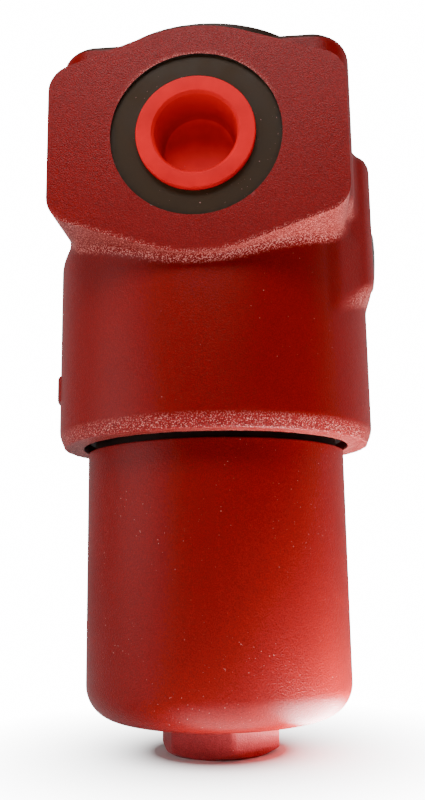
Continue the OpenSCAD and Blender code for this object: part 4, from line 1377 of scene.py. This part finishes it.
@dataclass
class Filter:
    """The whole filter: builds its visual pieces, sets them on their bodies and dresses what stays from CAD."""

    frame: dict
    finishes: dict[str, bpy.types.Material] = field(default_factory=dict)

    def make_finishes(self) -> None:
        """Builds every finish once."""
        red = (0.19, 0.0021, 0.0016)
        for finish in (
            Paint("red cast paint", red, 0.4, grain_scale=2800.0, grain_depth=0.0001, dark_above=-9.0, gloss=0.13,
                  coarse=0.3, highlight_grains=0.42),
            # painted light: a lighter copy of the red for the downward chamfer, with a coarser grain
            Paint("red chamfer paint lightened", (0.22, 0.003, 0.003), 0.42, grain_scale=2100.0, grain_depth=0.0002, gloss=0.2,
                  coarse=0.2, specks=0.75, sparkle=0.5, highlight_grains=0.2),
            Paint("red turned paint", red, 0.4, grain_scale=2500.0, grain_depth=0.00014, marks=0.000004, coarse=0.1,
                  gloss=0.13, specks=0.75),
            # painted light: a lighter copy of the bowl's red on the hexagon near the floor
            Paint("red hexagon paint lightened", (0.36, 0.03, 0.034), 0.42, grain_scale=2500.0, grain_depth=0.00014, gloss=0.2,
                  specks=0.75),
            # painted shade: near-black for the gap under the skirt's rim
            Metal("groove painted shade", (0.02, 0.006, 0.004), 0.5, Lay.ALONG_Z, metallic=0.0, gloss=0.1),
            Metal("phosphated spotface", (0.032, 0.016, 0.006), 0.5, Lay.RINGS_Y, (0, 0, -41), 0.0, blotch=0.12,
                  specks=0.76, gloss=0.12),
            Metal("phosphated bore", (0.09, 0.065, 0.05), 0.4, Lay.ALONG_Z, metallic=0.7),
            Metal("phosphated neck", (0.13, 0.11, 0.1), 0.38, Lay.ALONG_Z, metallic=0.8),
            Metal("turned steel", (0.5, 0.49, 0.47), 0.3, Lay.ALONG_Z, blotch=0.15),
            Metal("tinned sheet", (0.68, 0.68, 0.66), 0.32, Lay.NONE, marks_scale=500.0, blotch=0.12),
            Metal("core steel", (0.55, 0.56, 0.57), 0.36, Lay.NONE, marks_scale=700.0, blotch=0.2),
            Metal("turned brass", (0.62, 0.42, 0.15), 0.28, Lay.RINGS_Z, (0, 21, 0), blotch=0.15),
            Metal("spring wire", (0.35, 0.34, 0.34), 0.33, Lay.NONE, blotch=0.2),
            Metal("zinc plug", (0.62, 0.61, 0.58), 0.3, Lay.RINGS_X, (0, 0, -61), blotch=0.2),
            Metal("soft copper", (0.72, 0.36, 0.2), 0.35, Lay.RINGS_X, (0, 0, -61), blotch=0.25),
            Moulding("red cup plastic", (0.68, 0.004, 0.009), 0.45, recess_shade=0.68, gloss=0.06),
            Moulding("black rubber", (0.012, 0.012, 0.013), 0.5, skin_scale=1800.0, specks=0.76),
            Moulding("ivory back-up", (0.78, 0.74, 0.64), 0.42),
            Moulding("net plastic", (0.74, 0.75, 0.76), 0.45),
            Fibre("glass fibre", (0.7, 0.58, 0.4), 0.85),
        ):
            self.finishes[finish.name] = finish.build()

    def dress(self, piece: bpy.types.Object, *names: str) -> None:
        """Gives a piece its materials, one for each material index."""
        while len(piece.data.materials) > len(names):
            piece.data.materials.pop()
        for index, name in enumerate(names):
            if index < len(piece.data.materials):
                piece.data.materials[index] = self.finishes[name]
            else:
                piece.data.materials.append(self.finishes[name])

    def add(self, piece: bpy.types.Object, body: str, slot: str, names: Sequence[str],
            replaced: Sequence[str] = ()) -> None:
        """Dresses a new piece, sets it on its body, hides the CAD nodes that it replaces and logs its face count."""
        self.dress(piece, *names)
        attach(piece, body)
        if replaced:
            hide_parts(*replaced)
        LOG.info("%s: %d faces on %s", piece.name, len(piece.data.polygons), body)

    def build_head(self) -> None:
        """The casting, its thread liners and its arrows."""
        bare = ("phosphated bore",)
        head = Casting()
        self.add(head.build(), "head", "red_paint_cast",
                 ("red cast paint", "phosphated spotface", "phosphated bore", "red chamfer paint lightened"), ("head",))
        for axis, name in ((Axis.INLET, "inlet_port_thread"), (Axis.OUTLET, "outlet_port_thread")):
            liner = ThreadLiner(name, 12.2, 1.0, 1.81, 28.2, 47.9, 13.9, axis, (0.0, head.port_z), 96)
            self.add(liner.build(), "head", "turned_steel", bare)
        self.add(ThreadLiner("bowl_thread_bore", 35.45, 0.95, 2.0, -107.7, -90.3, 37.1, Axis.UP, columns=192).build(),
                 "head", "turned_steel", bare)
        for i, (x, y) in enumerate(((-18, -18), (18, -18), (-18, 18), (18, 18))):
            hole = ThreadLiner(f"top_hole_thread_{i + 1}", 3.4, 0.62, 1.25, -12.6, -0.4, 4.35, Axis.UP, (x, y), 40)
            self.add(hole.build(), "head", "turned_steel", bare)
        left = Arrow("skirt_flow_arrow", -100.0, 30.0, 12.0, 0.8)
        side = head.skirt_r
        self.add(left.build(lambda u, v, w: (-(side + w) * np.cos(u / side), (side + w) * np.sin(u / side),
                                             left.centre_z + v)), "head", "red_paint_cast", ("red cast paint",))
        right = Arrow("block_flow_arrow", -23.0, 24.0, 8.1, 0.8)
        self.add(right.build(lambda u, v, w: (41.5 + w, u, right.centre_z + v)), "head", "red_paint_cast",
                 ("red cast paint",))

    def build_turned(self) -> None:
        """The bowl, the cup plug and the blanking plug."""
        self.add(Bowl().build(), "bowl", "red_paint_turned",
                 ("red turned paint", "phosphated neck", "groove painted shade", "red hexagon paint lightened"), ("bowl",))
        self.add(CupPlug().build(), "inlet_plug", "red_plug_plastic", ("red cup plastic",), ("inlet_plug",))
        self.add(HexPlug().build(), "head", "plug_steel", ("zinc plug",), ("blanking_plug",))

    def dress_frame(self) -> None:
        """Gives every CAD node that stays its procedural finish."""
        for node, name in {
            "bowl_oring": "black rubber", "bowl_backup_ring": "ivory back-up", "spigot": "turned steel",
            "spigot_oring": "black rubber", "element_top_cap": "tinned sheet", "element_bottom_cap": "tinned sheet",
            "element_medium": "glass fibre", "element_core": "core steel", "element_net": "net plastic",
            "bypass_seat": "turned steel", "bypass_cage": "turned steel", "bypass_poppet": "turned brass",
            "bypass_spring": "spring wire", "bypass_retainer": "turned steel", "bypass_circlip": "spring wire",
            "blanking_seal": "soft copper",
        }.items():
            self.dress(self.frame["nodes"][node], name)
            LOG.info("%s: %s", node, name)


def main() -> None:
    logging.basicConfig(level=logging.INFO, format="%(name)s: %(message)s")
    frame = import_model()
    Studio().build()
    made = Filter(frame)
    made.make_finishes()
    made.build_head()
    made.build_turned()
    made.dress_frame()


if __name__ == "__main__":
    main()
